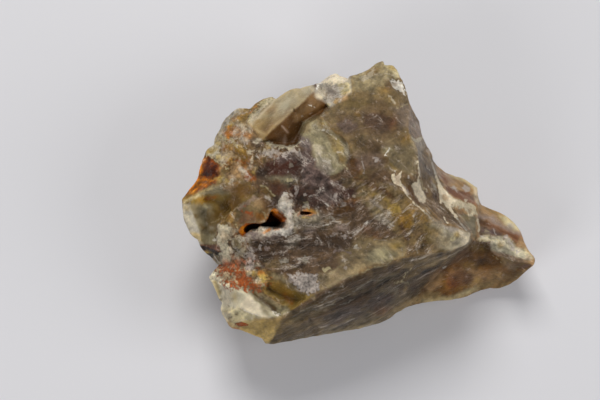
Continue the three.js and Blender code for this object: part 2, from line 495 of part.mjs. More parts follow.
function stoneGeometry() {
  const { rimCount, points, vertices, triangles } = displayFace();
  const ring = addSides(vertices, triangles, rimCount);
  addBack(vertices, triangles, ring);
  let stone = solidOf(geometryOf(vertices, triangles));
  CRYSTALS.forEach((crystal, number) => {
    stone = stone.add(solidOf(crystalGeometry(crystal, number, points)));
  });
  for (const pocket of [CAVITY, SLOT]) stone = stone.subtract(solidOf(pocketGeometry(pocket)));
  const geometry = geometryOfSolid(stone);
  geometry.computeVertexNormals();
  return geometry;
}

const stone = new THREE.Mesh(
  stoneGeometry(),
  new THREE.MeshStandardMaterial({ color: 0x7a6a55, roughness: 0.45, metalness: 0, flatShading: true }),
);
stone.name = "stone";

const group = new THREE.Group();
group.add(stone);

export default group;
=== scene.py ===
"""The looks of a rough piece of limnosilicite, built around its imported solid.

The solid is refined to a fine mesh, roughened, and painted with the minerals that show on it.
Shapes and places are in millimetres. The finished mesh, the floor, the lights and the camera are in metres.
A face point [x, y] lies on the display face as the camera sees it: x right and y up.
"""

import math
from typing import NamedTuple

import bpy
import numpy as np
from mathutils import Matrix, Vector


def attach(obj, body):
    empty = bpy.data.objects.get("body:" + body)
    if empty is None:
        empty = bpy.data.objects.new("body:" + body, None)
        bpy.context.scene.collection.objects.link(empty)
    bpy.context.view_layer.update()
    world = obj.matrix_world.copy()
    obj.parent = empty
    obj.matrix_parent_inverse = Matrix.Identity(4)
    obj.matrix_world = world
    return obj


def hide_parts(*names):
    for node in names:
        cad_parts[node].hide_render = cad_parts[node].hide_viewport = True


MM = 0.001

# The display face, as in the solid's own source
FACE_TILT = math.radians(75)
FACE_ORIGIN = np.array([-0.22, -2.01, 25.0])
VIEW_CENTRE = np.array([-12.0, 1.0])  # the face point in the middle of the picture
VIEW_DISTANCE = 400.0
PICTURE_WIDTH = 120.0  # what the picture spans on the face's plane
SENSOR_WIDTH = 36.0
RIGHT = np.array([1.0, 0.0, 0.0])
UP = np.array([0.0, math.sin(FACE_TILT), math.cos(FACE_TILT)])
TOWARDS = np.array([0.0, -math.cos(FACE_TILT), math.sin(FACE_TILT)])

# The fine mesh
SEEN_EDGE = 0.48  # longest edge where the camera sees the stone
HIDDEN_EDGE = 1.1  # longest edge on the sides
BACK_EDGE = 2.5  # longest edge on the flat back
SPLITTING_ROUNDS = 6
SEEN_TURN = -0.1  # a surface that turns further from the camera than this isn't seen
CREASE_ANGLE = math.radians(33)
SMOOTHING_ROUNDS = 7
SURFACE_PULL = 0.6  # how far a round of smoothing pulls a point to the mean of its neighbours
CORNER_PULL = 0.15  # the same where three or more creases meet
SURROUNDINGS_ROUNDS = 20  # how far out a point's surroundings reach
RIDGE_HEIGHT = 0.25  # how far a full ridge stands over its surroundings
BACK_HEIGHT = 0.02  # points lower than this are the flat back, which stays flat

# The minerals' colours, sRGB
MINERALS = {
    "white": (214, 208, 196),
    "bone": (196, 184, 160),
    "chalk": (178, 170, 146),
    "cream": (184, 172, 134),
    "straw": (172, 146, 78),
    "pale olive": (150, 140, 108),
    "grey olive": (116, 107, 84),
    "beige": (150, 134, 100),
    "pale grey": (150, 143, 129),
    "lilac white": (168, 158, 150),
    "frost": (156, 142, 134),
    "ash": (126, 112, 106),
    "lilac": (100, 82, 76),
    "pink grey": (146, 128, 116),
    "slate": (108, 87, 58),
    "dark slate": (82, 65, 38),
    "smoke": (92, 71, 49),
    "dark smoke": (62, 44, 28),
    "purple brown": (72, 48, 38),
    "honey": (118, 99, 66),
    "gold": (136, 114, 74),
    "ochre": (132, 100, 38),
    "yellow": (164, 136, 66),
    "olive": (114, 94, 48),
    "dark olive": (86, 65, 27),
    "tan": (152, 122, 84),
    "pink tan": (148, 126, 108),
    "bronze": (84, 57, 28),
    "amber": (124, 82, 34),
    "dark amber": (90, 61, 26),
    "red brown": (112, 72, 48),
    "brick": (152, 78, 36),
    "rust": (136, 64, 0),
    "dark rust": (70, 26, 0),
    "orange": (192, 114, 10),
    "black": (14, 9, 6),
}


class Texture(NamedTuple):
    """What a stretch of surface feels like."""

    relief: float  # height of its roughness
    knobbly: float  # how much of that is rounded knobs and not splinters
    turn: float  # direction of its fibres, in degrees from the face's x
    stretch: float  # how many times longer than wide they are
    contrast: float  # how much lighter and darker they are
    frost: float  # how much pale frosting lies on it, 0 to 1
    grain: float  # how strong the fine grains in its colour are, 0 to 1
    roughness: float  # of the shader


TEXTURES = {
    "break": Texture(0.22, 0.2, turn=12, stretch=2.0, contrast=0.5, frost=0.25, grain=0.6, roughness=0.42),
    "fibrous": Texture(0.3, 0, turn=6, stretch=3.5, contrast=0.75, frost=0.41, grain=0.9, roughness=0.45),
    "speckled": Texture(0.34, 0.4, turn=20, stretch=1.6, contrast=0.75, frost=0.35, grain=1, roughness=0.42),
    "fanned": Texture(0.26, 0, turn=38, stretch=2.6, contrast=0.5, frost=0.35, grain=0.8, roughness=0.45),
    "waxy": Texture(0.06, 0.3, turn=40, stretch=1.5, contrast=0.5, frost=0.05, grain=0.35, roughness=0.34),
    "hazy": Texture(0.16, 0.2, turn=40, stretch=1.6, contrast=0.42, frost=0.22, grain=0.5, roughness=0.34),
    "glassy": Texture(0.03, 0, turn=45, stretch=3.0, contrast=0.2, frost=0.0, grain=0.06, roughness=0.2),
    "streaked": Texture(0.13, 0, turn=27, stretch=5.0, contrast=0.95, frost=0.25, grain=0.45, roughness=0.33),
    "scaly": Texture(0.14, 0, turn=-52, stretch=5.0, contrast=0.75, frost=0.3, grain=0.4, roughness=0.32),
    "crusted": Texture(0.4, 0.85, turn=30, stretch=1.2, contrast=0.55, frost=0.38, grain=0.8, roughness=0.62),
    "chalky": Texture(0.28, 0.6, turn=-28, stretch=1.6, contrast=0.45, frost=0.35, grain=0.6, roughness=0.7),
    "banded": Texture(0.10, 0, turn=-30, stretch=6.0, contrast=0.3, frost=0.15, grain=0.25, roughness=0.45),
    "rusty": Texture(0.30, 0.8, turn=40, stretch=1.5, contrast=0.9, frost=0.05, grain=1.0, roughness=0.6),
    "plumed": Texture(0.18, 0, turn=-58, stretch=4.5, contrast=0.6, frost=0.3, grain=0.5, roughness=0.4),
    "crystals": Texture(0.35, 1, turn=-60, stretch=1.5, contrast=0.5, frost=0.45, grain=0.3, roughness=0.25),
    "clouded": Texture(0.10, 0.2, turn=-35, stretch=2.5, contrast=0.6, frost=0.2, grain=0.5, roughness=0.36),
}

# Relief
WAVE_SIZE = 3.5
WAVE_HEIGHT = 0.12
SIDE_LUMPS = 1.6  # size of the lumps on the sides
KNOBS = [(2.3, 0.65, 201), (1.1, 0.35, 211)]  # the crusts' knobs: their size, share and seed
KNOB_MEAN = 0.6
KNOB_RISE = 1.6  # how many times higher knobs are than splinters

# Fibres
FIRST_FIBRE_SEED = 100
THREAD_SIZE = 0.95
SPLINTER_SIZE = 0.6
THREAD_SHARE = 0.6  # of threads, and the rest is splinters
BEND_SIZE = 3.1
BEND_REACH = 0.35

# Light and shade in the painted colours
MOTTLE_SIZE = 1.3
MOTTLE_SHADE = 0.6  # as a share of the texture's contrast
BROAD_SIZE = 4.0
BROAD_SHADE = 0.2
# Painted shade: the cracks between the crusts' knobs are painted darker
CRACK_SHADE = 0.3  # how much darker the cracks between knobs are
# Painted light and shade: full ridges are painted lighter, as the glow of thin translucent edges, and full
# hollows are painted darker
RIDGE_LIGHT = 0.45  # how much lighter full ridges are
HOLLOW_SHADE = 0.3  # how much darker full hollows are
FROST_DARKENING = 0.6  # how much darker the stone under the frosting is than its mean colour

# The frosting's grains, one direction for each channel of the attribute: their turn, length and width
FROST_GRAINS = {
    "fibrous": (8, 1.2, 0.5),
    "fanned": (38, 1.6, 0.45),
    "streaked": (25, 5.0, 0.5),
    "rest": (-48, 1.0, 0.5),
}

# The stains and flecks all over the crusts: their mineral, their size and their seed
CRUST_FLECKS = [("amber", 2.1, 261), ("bone", 1.3, 271)]
FLECK_STRENGTH = 0.55
CRUST_FLECK_STRENGTH = 0.33

# How a ragged edge wanders: the size of its lumps, how far it goes, and a seed for each direction
WANDERING = [(2.2, 0.9, (11, 23)), (0.7, 0.6, (31, 43))]

# How far a surface is turned towards the camera where it begins to count as hidden, and where it is fully
TURNING_AWAY = (0.05, -0.3)

# Fine detail in the material
GRAIN_SIZE = 0.5
FRAY_SIZE = 0.6
COARSE_SIZE = 1.5
# Painted glints: the size of the fine specks that are painted lighter as sparkles of light
GLINT_SIZE = 0.2
NOISE_SPAN = (0.3, 0.7)  # where most of a noise's values lie
FROST_REACH = 0.42  # how far full frosting lifts the threads' noise
FROST_SHOWS = (0.7, 0.96)  # the values between which it starts to show
FROST_HEIGHT = 0.35  # as a share of the grains' height
CRUST_HEIGHT = 0.4
BUMP_STRENGTH = 0.75
BUMP_DEPTH = 0.3


# Colour


def srgb(colour):
    """The linear values of an sRGB colour."""
    value = np.array(colour) / 255
    return np.where(value < 0.04045, value / 12.92, ((value + 0.055) / 1.055) ** 2.4)


def smoothstep(low, high, value):
    """0 up to low, 1 from high, and a smooth rise between them."""
    share = np.clip((value - low) / (high - low), 0, 1)
    return share * share * (3 - 2 * share)


# Noise


def lattice(cells, seed):
    """A repeatable random number from 0 to 1 for each row of whole numbers."""
    weights = np.array([127.1, 311.7, 74.7])[: cells.shape[1]]
    scrambled = np.sin(cells @ weights + seed * 19.19) * 43758.5453
    return scrambled - np.floor(scrambled)


def noise(points, size, seed):
    """Smooth noise from -1 to 1, with lumps of that size."""
    where = points / size
    cell = np.floor(where)
    part = where - cell
    part = part * part * (3 - 2 * part)
    total = np.zeros(len(points))
    for corner in np.ndindex(*(2,) * points.shape[1]):
        weight = np.prod(np.where(np.array(corner) == 1, part, 1 - part), axis=1)
        total += weight * lattice(cell + corner, seed)
    return 2 * total - 1


def layered(points, size, seed, layers=3):
    """Noise with finer and weaker noise on it, from about -1 to 1."""
    strengths = [0.5**layer for layer in range(layers)]
    total = sum(s * noise(points, size * 0.5**i, seed + i) for i, s in enumerate(strengths))
    return total / sum(strengths)


def knobs(points, size, seed):
    """Rounded knobs of that size: 1 on a knob's top, 0 in the cracks between them."""
    cell = np.floor(points / size)
    nearest = np.full(len(points), np.inf)
    for step in np.ndindex(*(3,) * points.shape[1]):
        other = cell + np.array(step) - 1
        jitter = np.stack([lattice(other, seed + axis) for axis in range(points.shape[1])], axis=1)
        nearest = np.minimum(nearest, np.linalg.norm(points / size - other - jitter, axis=1))
    return np.sqrt(np.clip(1 - nearest**2, 0, 1))


def turned(spots, degrees):
    """Face points turned, so that a direction comes to lie along x."""
    angle = math.radians(degrees)
    across = np.array([[math.cos(angle), -math.sin(angle)], [math.sin(angle), math.cos(angle)]])
    return spots @ across


# Patches on the display face

# A row names a mineral or a texture, an edge, and the shapes that have them. A shape is a function that says
# how far face points lie inside it, in millimetres. Later rows lie over earlier ones, and crusts lie over the
# rest.


class Edge(NamedTuple):
    """How a patch ends, and how strongly it covers."""

    soft: float  # how gradually it ends, where it lies within the stone
    rag: float  # how far its outline wanders
    strength: float
    fray: float  # 0 for what lies within the stone, and else how frayed a crust's edge is


EDGES = {
    "wide": Edge(soft=1.3, rag=1.0, strength=0.8, fray=0),
    "soft": Edge(soft=0.6, rag=0.6, strength=1.0, fray=0),
    "faint": Edge(soft=0.7, rag=0.6, strength=0.5, fray=0),
    "near": Edge(soft=0.3, rag=0.25, strength=1.0, fray=0),
    "tint": Edge(soft=0.35, rag=0.4, strength=0.65, fray=0),
    "fine": Edge(soft=0.2, rag=0.15, strength=0.9, fray=0),
    "crisp": Edge(soft=0, rag=0.12, strength=0.92, fray=0.4),
    "thin": Edge(soft=0, rag=0.3, strength=0.6, fray=0.5),
    "rough": Edge(soft=0, rag=0.5, strength=0.78, fray=0.9),
    "crumbly": Edge(soft=0, rag=0.7, strength=1.0, fray=1.5),
    "stained": Edge(soft=0, rag=0.15, strength=0.9, fray=0.7),
    "dusty": Edge(soft=0, rag=0.8, strength=0.9, fray=4),
}


def to_line(spots, a, b):
    """How far face points are from a straight line between two others."""
    along = b - a
    share = np.clip((spots - a) @ along / (along @ along), 0, 1)
    return np.linalg.norm(spots - a - share[:, None] * along, axis=1)


def area(*outline):
    """The shape inside a closed outline of face points."""
    corners = np.array(outline, float)

    def depth(spots):
        nearest = np.full(len(spots), np.inf)
        odd = np.zeros(len(spots), bool)
        for a, b in zip(corners, np.roll(corners, -1, axis=0)):
            nearest = np.minimum(nearest, to_line(spots, a, b))
            if a[1] != b[1]:
                crossing = a[0] + (spots[:, 1] - a[1]) / (b[1] - a[1]) * (b[0] - a[0])
                odd ^= ((a[1] > spots[:, 1]) != (b[1] > spots[:, 1])) & (spots[:, 0] < crossing)
        return np.where(odd, nearest, -nearest)

    return depth


def blob(x, y, wide, high, turn=0):
    """An oval with its middle, its two radii and its turn in degrees."""

    def depth(spots):
        across = turned(spots - np.array([x, y]), turn) / np.array([wide, high])
        return (1 - np.linalg.norm(across, axis=1)) * min(wide, high)

    return depth


def stroke(width, *line):
    """A stroke of that width along a line of face points."""
    points = np.array(line, float)

    def depth(spots):
        parts = [to_line(spots, a, b) for a, b in zip(points[:-1], points[1:])]
        return width / 2 - np.min(parts, axis=0)

    return depth


# The dark streaked facet below the display face
LOWER_FACET = [
    ("dark slate", "near", area((22, -7.2), (20.3, -8.9), (14.9, -10.1), (9, -10.8), (5.5, -12),
        (-0.2, -13.9), (-5.9, -16.7), (-10, -19.6), (-13, -21), (-15, -22.4), (-19, -29), (-5, -27),
        (5, -24.4), (8, -22), (11, -20.8), (12, -17.5), (14, -15), (16.8, -12.5), (19.4, -10.2))),
    ("honey", "wide", area((-18, -28.6), (-16, -22.6), (-12, -21), (-8, -20), (-6, -23), (-9, -27))),
    ("smoke", "faint", area((-8, -19), (-1, -15), (0, -17), (-4, -19.4))),
    ("slate", "faint", area((-1, -14), (4, -12.8), (8, -11.4), (10, -12), (4, -14.4))),
    ("honey", "soft", area((8, -11), (15, -10.2), (19.4, -9.2), (17.4, -11), (14, -12.2), (8.6, -12.6))),
    ("dark smoke", "faint", area((-12, -23), (-6, -20.8), (0, -18.2), (6, -16.4), (10, -16), (9, -18),
        (2, -20.4), (-6, -23.4))),
    ("grey olive", "faint", stroke(0.9, (-13.6, -23), (-8, -20.4), (-3, -17.8), (2, -15.6), (7, -13.8)),
        stroke(0.7, (-6, -25), (0, -22.8), (4, -20.8), (8.6, -18.6))),
    ("dark smoke", "tint", blob(2, -16.1, 1.2, 0.6, 15), blob(6.8, -12.9, 1.1, 0.5, 15),
        blob(-6.6, -21.4, 1.8, 0.4, 25), blob(-10.8, -21.9, 1.2, 0.35, 20)),
    ("dark smoke", "soft", blob(5.4, -18.7, 1.5, 0.7, 5), blob(12.9, -13.4, 1.5, 0.9, 25),
        blob(10.9, -16.8, 0.7, 1.0, -20)),
    ("red brown", "faint", area((2.6, -20.2), (6, -19.8), (6, -22), (2, -23))),
    ("honey", "faint", area((13, -10.6), (18, -9.8), (18.2, -10.6), (15.4, -11.6)),
        area((6.6, -18), (10, -18.2), (12, -19.6), (8, -21), (5, -22.6)),
        area((8.6, -13.6), (13, -11.8), (16, -11.4), (13.6, -13.2), (10, -14.8))),
    ("lilac", "faint", area((-5, -22.2), (1, -21.8), (1.6, -23.4), (-4, -25.2))),
    ("gold", "tint", stroke(1.1, (2.4, -23.8), (5.2, -22.6), (7.6, -20.9), (12, -19.6)),
        stroke(0.5, (8.7, -18), (9.2, -16.6), (9.1, -15.6))),
    ("beige", "faint", stroke(1.2, (-17.6, -28), (-8, -26.2), (0, -24.8), (4, -23.9)),
        stroke(0.4, (0.2, -20.7), (2, -18.8), (3.6, -17.9), (5.6, -16.6)),
        stroke(0.3, (5, -17.4), (7.6, -16.9)), stroke(0.3, (14.2, -11.6), (15.6, -10.6))),
    ("beige", "thin", stroke(0.2, (-5.6, -19.6), (-3.4, -18.2), (-1.8, -17.6)),
        stroke(0.3, (21.6, -8), (19.7, -9.3), (18.2, -10.3))),
    ("slate", "tint", stroke(0.35, (-12, -24), (-7, -21.8), (-3, -20.6)),
        stroke(0.35, (-10, -25.4), (-4, -23.6), (2, -21.4))),
    ("pale grey", "thin", stroke(0.2, (-13.6, -22.4), (-7, -18.8), (-5.2, -17.4)),
        stroke(0.18, (-9.6, -21), (-6, -19.8), (-3.6, -19.9), (-1, -18.4)),
        stroke(0.18, (-3.6, -18.6), (-0.6, -16.6), (2.4, -15.2), (5.2, -14.8))),
    ("ash", "thin", stroke(0.25, (-8, -24.2), (-5, -23.6), (-2.6, -23.8), (-0.6, -22.4)),
        blob(-1.2, -21.2, 1.1, 0.5, 15)),
    ("grey olive", "tint", stroke(0.3, (6.2, -17.6), (6.5, -16.6)), stroke(0.3, (7.1, -17.7), (7.5, -16.7))),
    ("cream", "thin", stroke(0.25, (6.8, -15.6), (8.2, -15.2), (9.3, -13.6), (10.2, -12.6))),
    ("pale olive", "thin", stroke(0.3, (8.5, -15.2), (9.5, -15.4), (9.8, -15.9))),
    ("dark slate", "thin", blob(-1.1, -21.3, 0.5, 0.2, 15)),
    ("ash", "thin", stroke(0.3, (-3, -22.2), (-2, -21.6))),
    ("ash", "tint", blob(-3.8, -24.4, 0.6, 0.4, 15)),
    ("white", "crisp", stroke(0.3, (16.6, -12.5), (17.1, -12.3))),
    ("dark smoke", "tint", area((-5.6, -18.6), (0, -17.4), (5, -17.4), (5.6, -19.6), (0, -20.8),
        (-5.6, -20.8))),
    ("beige", "faint", area((-8, -24.8), (-2, -22.6), (4, -21.6), (9, -20.2), (11, -20.8), (5, -24.6),
        (-5, -27))),
    ("gold", "faint", area((7, -18), (12, -17), (14, -19.8), (9, -21.4))),
    ("dark smoke", "faint", area((-3, -15.2), (2, -13.8), (3, -15.4), (-2, -17))),
]

# The amber facet under the far lobe
AMBER_LOBE = [
    ("dark amber", "near", area((19.4, -10.1), (22.6, -7.2), (26, -7.2), (26.4, -9.4), (28.6, -10.9),
        (31.5, -11.3), (34, -11.5), (35, -12.6), (31.6, -15.8), (27.2, -17.6), (20, -19.4), (14, -20.2),
        (10, -20.8), (12, -17.5), (14, -15), (16.8, -12.5))),
    ("amber", "soft", area((17, -13), (20, -12.4), (27, -12.6), (31, -13), (30, -15.6), (24, -16.6),
        (18, -16.6))),
    ("amber", "wide", blob(19.6, -14.6, 4.6, 2.6, 5)),
    ("ochre", "faint", blob(18.4, -15.6, 2.2, 1.5)),
    ("tan", "faint", area((18, -13), (23, -12.6), (25, -14.4), (21, -15.4), (18, -15))),
    ("tan", "tint", area((12.8, -16.6), (15, -13.8), (16.8, -13.4), (16, -16.6), (13.6, -17.6)),
        area((20.4, -13), (27, -13), (30.4, -14.4), (27, -16), (22, -16.6))),
    ("amber", "faint", area((17, -16), (19.6, -16.2), (20, -17.4), (18, -18.4), (16.4, -17.8))),
    ("gold", "soft", area((11.4, -18.2), (14, -17.4), (16.2, -17.6), (17.6, -18.8), (14, -19.6), (10.4, -20)),
        stroke(1.0, (17.6, -18.9), (20, -18.3), (23, -16.9), (26, -15.6))),
    ("yellow", "faint", stroke(0.9, (19.8, -16.2), (22, -15.6), (24, -15))),
    ("cream", "faint", stroke(0.9, (13, -19.5), (17, -19), (20, -18.2), (23, -16.9))),
    ("honey", "faint", area((27, -13), (31, -13.2), (33, -13.4), (30, -16), (27, -17), (25, -16))),
    ("gold", "tint", stroke(0.7, (27.6, -17), (30.4, -15.4), (33, -13.4), (34.2, -12.9))),
    ("dark smoke", "tint", blob(24.7, -10.5, 0.5, 0.25), blob(22.4, -11.4, 0.9, 0.3)),
    ("olive", "faint", area((20.4, -11.6), (23.4, -11.9), (24.4, -12.6), (21, -12.9)),
        area((22.4, -7.6), (25.6, -7.6), (25.6, -9), (23.6, -9), (21.8, -9))),
    # Painted shadow: the dark under the nose's overhang
    ("bronze", "soft", blob(19.8, -9.9, 1.0, 0.4, 35)),
    ("beige", "thin", stroke(0.2, (26.4, -10), (27.6, -11), (28.2, -11.8))),
    ("honey", "soft", area((28, -10.4), (31, -10.9), (32.4, -11.6), (31, -12.8), (28.6, -12.4))),
    ("red brown", "tint", blob(31.4, -11.6, 0.5, 0.25), blob(19.8, -14.8, 2.6, 1.6, 10)),
    ("lilac", "faint", area((28.8, -11.2), (31, -11.2), (31, -12.6), (29, -12.4))),
    ("lilac", "tint", blob(33.1, -12.1, 0.9, 0.4, 20)),
    ("slate", "faint", blob(27.4, -12.9, 0.6, 0.3)),
    ("rust", "faint", blob(18.6, -15.6, 1.2, 1.0)),
    ("bronze", "faint", blob(20.4, -14.8, 2.4, 1.6)),
]

# The far lobe with its pink and brown bands
FAR_LOBE = [
    ("tan", "near", area((14.2, 9), (17, 7.6), (20.2, 6.6), (24.6, 4.4), (24.6, 0.8), (28, -0.6), (33, -4),
        (34, -7), (36.4, -10.6), (34.8, -11.9), (31.5, -11.3), (28.6, -10.9), (26.4, -9.4), (26, -7.2),
        (22.6, -7.2), (22.2, -5.2), (19.6, -2.6), (18.4, 1), (16.2, 3.6), (15, 6.4))),
    # The lobe's cream top rim: partly its own colour, partly painted glow of the thin translucent edge
    ("cream", "tint", stroke(1.2, (18.4, 6.2), (20.8, 5.4), (22.6, 4.4), (23.6, 3.4))),
    ("bone", "tint", stroke(0.9, (23.4, 3.4), (23.2, 1.6), (23.6, 0.4))),
    ("pink tan", "tint", area((15.8, 7.2), (17.6, 6.4), (19, 4.4), (17.2, 4.4), (16.2, 5.4))),
    ("red brown", "near", area((16.8, 3.8), (17.6, 3.9), (19.4, 3), (20.6, 2.9), (22, 2.6), (22.8, 1.4),
        (23.4, -0.2), (21.8, 0.2), (19.6, 1.3), (17.4, 2.8))),
    ("pink tan", "faint", area((20.2, 2.4), (22.8, 1.8), (23, 0.2), (21, 0.6))),
    ("bone", "thin", blob(21.1, 0.9, 0.4, 0.3)),
    ("chalk", "rough", area((18.5, 0.9), (19.5, 1.2), (20.6, 0.6), (21.8, 0.2), (23.2, -0.5), (23.3, -2),
        (22.2, -2.2), (21.2, -2), (20.6, -0.8), (19.6, -0.9), (18.8, -0.4))),
    ("bronze", "thin", area((19.2, -1.1), (20.1, -0.9), (20.7, -1.7), (20.4, -2.3), (19.6, -2))),
    ("slate", "thin", blob(21.9, -1.2, 0.35, 0.4)),
    ("grey olive", "near", area((19.4, -1.8), (23.2, -2.2), (23.2, -6.8), (22.2, -5.4), (20.4, -3.4))),
    ("olive", "tint", area((20.2, -2.4), (21.6, -2.4), (21.8, -3.4), (20.6, -3.6))),
    ("gold", "tint", area((24.4, -0.4), (28, -1.6), (31.6, -4), (32.6, -5.4), (29, -4), (27, -2.6))),
    ("cream", "soft", area((27.6, -2), (29.4, -2.4), (31.6, -4.2), (32.4, -5.6), (30.6, -5), (28.4, -3.4))),
    ("lilac white", "tint", blob(30.1, -4.2, 0.8, 0.5, -30)),
    ("pink grey", "soft", stroke(1.0, (23.8, -2.3), (26, -3.1), (28.6, -4.4), (31.8, -6))),
    ("red brown", "soft", stroke(0.7, (16.4, 5.8), (17.4, 4.7)),
        stroke(0.9, (24, -3.6), (26, -4.2), (28, -5), (30.2, -5.9), (32, -6.7)),
        area((29.8, -6), (31.8, -6.4), (32.4, -7.6), (31, -8), (30, -7.2))),
    ("bronze", "soft", stroke(0.6, (23.8, -3.2), (25, -3.9))),
    ("lilac", "soft", area((24, -4.3), (26.6, -4.8), (28.4, -5.6), (28.4, -6.2), (24, -6.4))),
    ("tan", "soft", area((32, -6.4), (33.4, -8.4), (34.4, -9.6), (32.4, -8.8), (31.4, -8))),
    ("chalk", "near", area((23.4, -7.1), (24, -6.4), (26.2, -6.4), (28.2, -6.2), (29.6, -6.4), (31, -8.2),
        (33.2, -9.4), (34.8, -10.4), (34, -11), (31.4, -10.4), (29.4, -9.8), (27.4, -9.4), (26, -9),
        (25.8, -7.5), (24.4, -7.2))),
    ("dark smoke", "thin", blob(24.6, -6, 0.7, 0.25), blob(25, -4.7, 0.8, 0.25, -15)),
    ("pale olive", "thin", blob(25.3, -5.3, 0.5, 0.25)),
    ("red brown", "thin", blob(28.9, -6.5, 0.25, 0.45, -10)),
    ("lilac white", "thin", stroke(0.3, (26.6, -4.9), (27.2, -5.9))),
    ("lilac white", "rough", area((18.1, 3.5), (18.8, 3.9), (19.5, 3.4), (19.6, 2.7), (19, 3)),
        area((20.2, 3.5), (20.9, 4.2), (21.8, 3.9), (22.1, 3), (21.4, 2.7), (20.9, 3.1)),
        stroke(0.6, (29.4, -6.3), (29.7, -7.4), (30.6, -8.8), (31.4, -9.4))),
    ("cream", "thin", stroke(0.3, (23.8, -7.1), (26, -7.1), (28.2, -7.2))),
    ("pale olive", "tint", area((24.4, -5.8), (25.8, -5.8), (26.2, -7), (24.6, -6.8))),
    ("yellow", "tint", blob(28.1, -7.9, 0.5, 0.5)),
    ("pink tan", "tint", stroke(0.35, (17, 4.1), (18, 3.9), (18.6, 3.3)),
        area((26.2, -9.2), (28.8, -9.4), (32, -10.6), (33.6, -11.2), (32, -11.4), (29.4, -10.8),
        (27, -10.6))),
    ("cream", "tint", blob(33.2, -9.4, 1.0, 0.4, -40)),
    ("tan", "tint", blob(34, -11, 1.1, 0.6, -50)),
    ("bone", "crisp", stroke(0.42, (23.4, -3), (23.7, -4.2), (23.8, -5.3))),
]

# The scaly facet at the right
RIGHT_FACET = [
    ("slate", "near", area((10, 20.6), (12.8, 15), (14.8, 10.4), (15.2, 7.6), (16.2, 4.4), (18.2, 1),
        (19.8, -2.6), (22.4, -5.4), (21, -5.2), (16, -3.9), (13.4, -2.2), (11.4, -0.2), (9.6, 1.6), (8, 3.8),
        (6.6, 4.4), (6.4, 6), (8, 7), (9.6, 5.6), (11, 5.6), (11.8, 8), (10.8, 13.4), (9.6, 15))),
    ("pale grey", "thin", stroke(0.4, (10.6, 16.2), (10.9, 15.2))),
    ("chalk", "thin", area((10, 13.5), (11.2, 13.2), (12.8, 13.7), (12.2, 12.8), (11.6, 12.4), (10.8, 12.8)),
        blob(11.4, 9.6, 0.3, 0.3), blob(11.4, 8.4, 0.35, 0.25)),
    ("pale grey", "faint", area((10.8, 12.6), (12.8, 12.8), (13, 10.6), (11.8, 9))),
    ("pale grey", "tint", stroke(0.35, (12.3, 10.4), (12.8, 8.4))),
    ("olive", "tint", stroke(0.5, (14, 9.8), (14.3, 8.6))),
    ("dark slate", "soft", area((12.1, 8), (14.6, 7.8), (15.2, 6.2), (14.4, 5.4), (12.4, 5.4))),
    ("dark smoke", "tint", area((13.2, 7.2), (14.8, 7), (14.9, 6.1), (13.8, 6))),
    ("pale olive", "thin", stroke(0.4, (12.1, 5), (12.5, 3.8), (12.9, 3))),
    ("purple brown", "thin", blob(13, 2.4, 0.5, 0.35, -30)),
    ("ash", "thin", blob(14.2, 4.8, 0.3, 0.4)),
    ("olive", "tint", blob(14.8, 5, 0.5, 0.5)),
    ("pale grey", "rough", area((14.3, 4.4), (15.3, 4.3), (15.7, 2.9), (15.1, 2.7), (14.6, 3.2))),
    ("bone", "thin", stroke(0.25, (13.6, 3.9), (13.3, 3.2), (13.3, 2.7)),
        stroke(0.2, (14.3, 3.4), (14.4, 2.8))),
    ("dark smoke", "soft", area((14.1, 2.5), (15.6, 2.4), (15.8, 0.8), (15, 0.6), (14.1, 1.6))),
    ("bronze", "crisp", area((9.6, 4), (10.3, 4.2), (10.6, 3), (11.4, 1.2), (12.2, 0.2), (11.5, 0.2),
        (10.4, 1.5), (9.5, 2.9))),
    ("lilac white", "thin", stroke(0.55, (8.7, 3.9), (9, 3.2), (9.6, 2.3))),
    ("smoke", "tint", area((13, 0), (16, 0.4), (18.2, -1.6), (19.2, -3.6), (17, -3.4), (14.4, -2))),
    ("dark slate", "tint", area((10.2, 19.6), (11.8, 16.6), (12.4, 14.2), (11.4, 14), (10.4, 17)),
        blob(17, -1, 1.2, 0.8, -40)),
    ("dark slate", "faint", blob(18.6, -3.1, 0.8, 0.7)),
    ("gold", "faint", area((12.4, -0.6), (13.6, 0), (14.4, -1.2), (14.6, -2.6), (13.4, -2.4))),
    ("pale grey", "faint", area((14, -2.6), (16, -3), (17, -4.4), (14.6, -3.8))),
    ("pink grey", "faint", area((9.8, 19.6), (11.6, 16.4), (12.6, 13.8), (11, 13.4), (9.8, 15.4))),
]

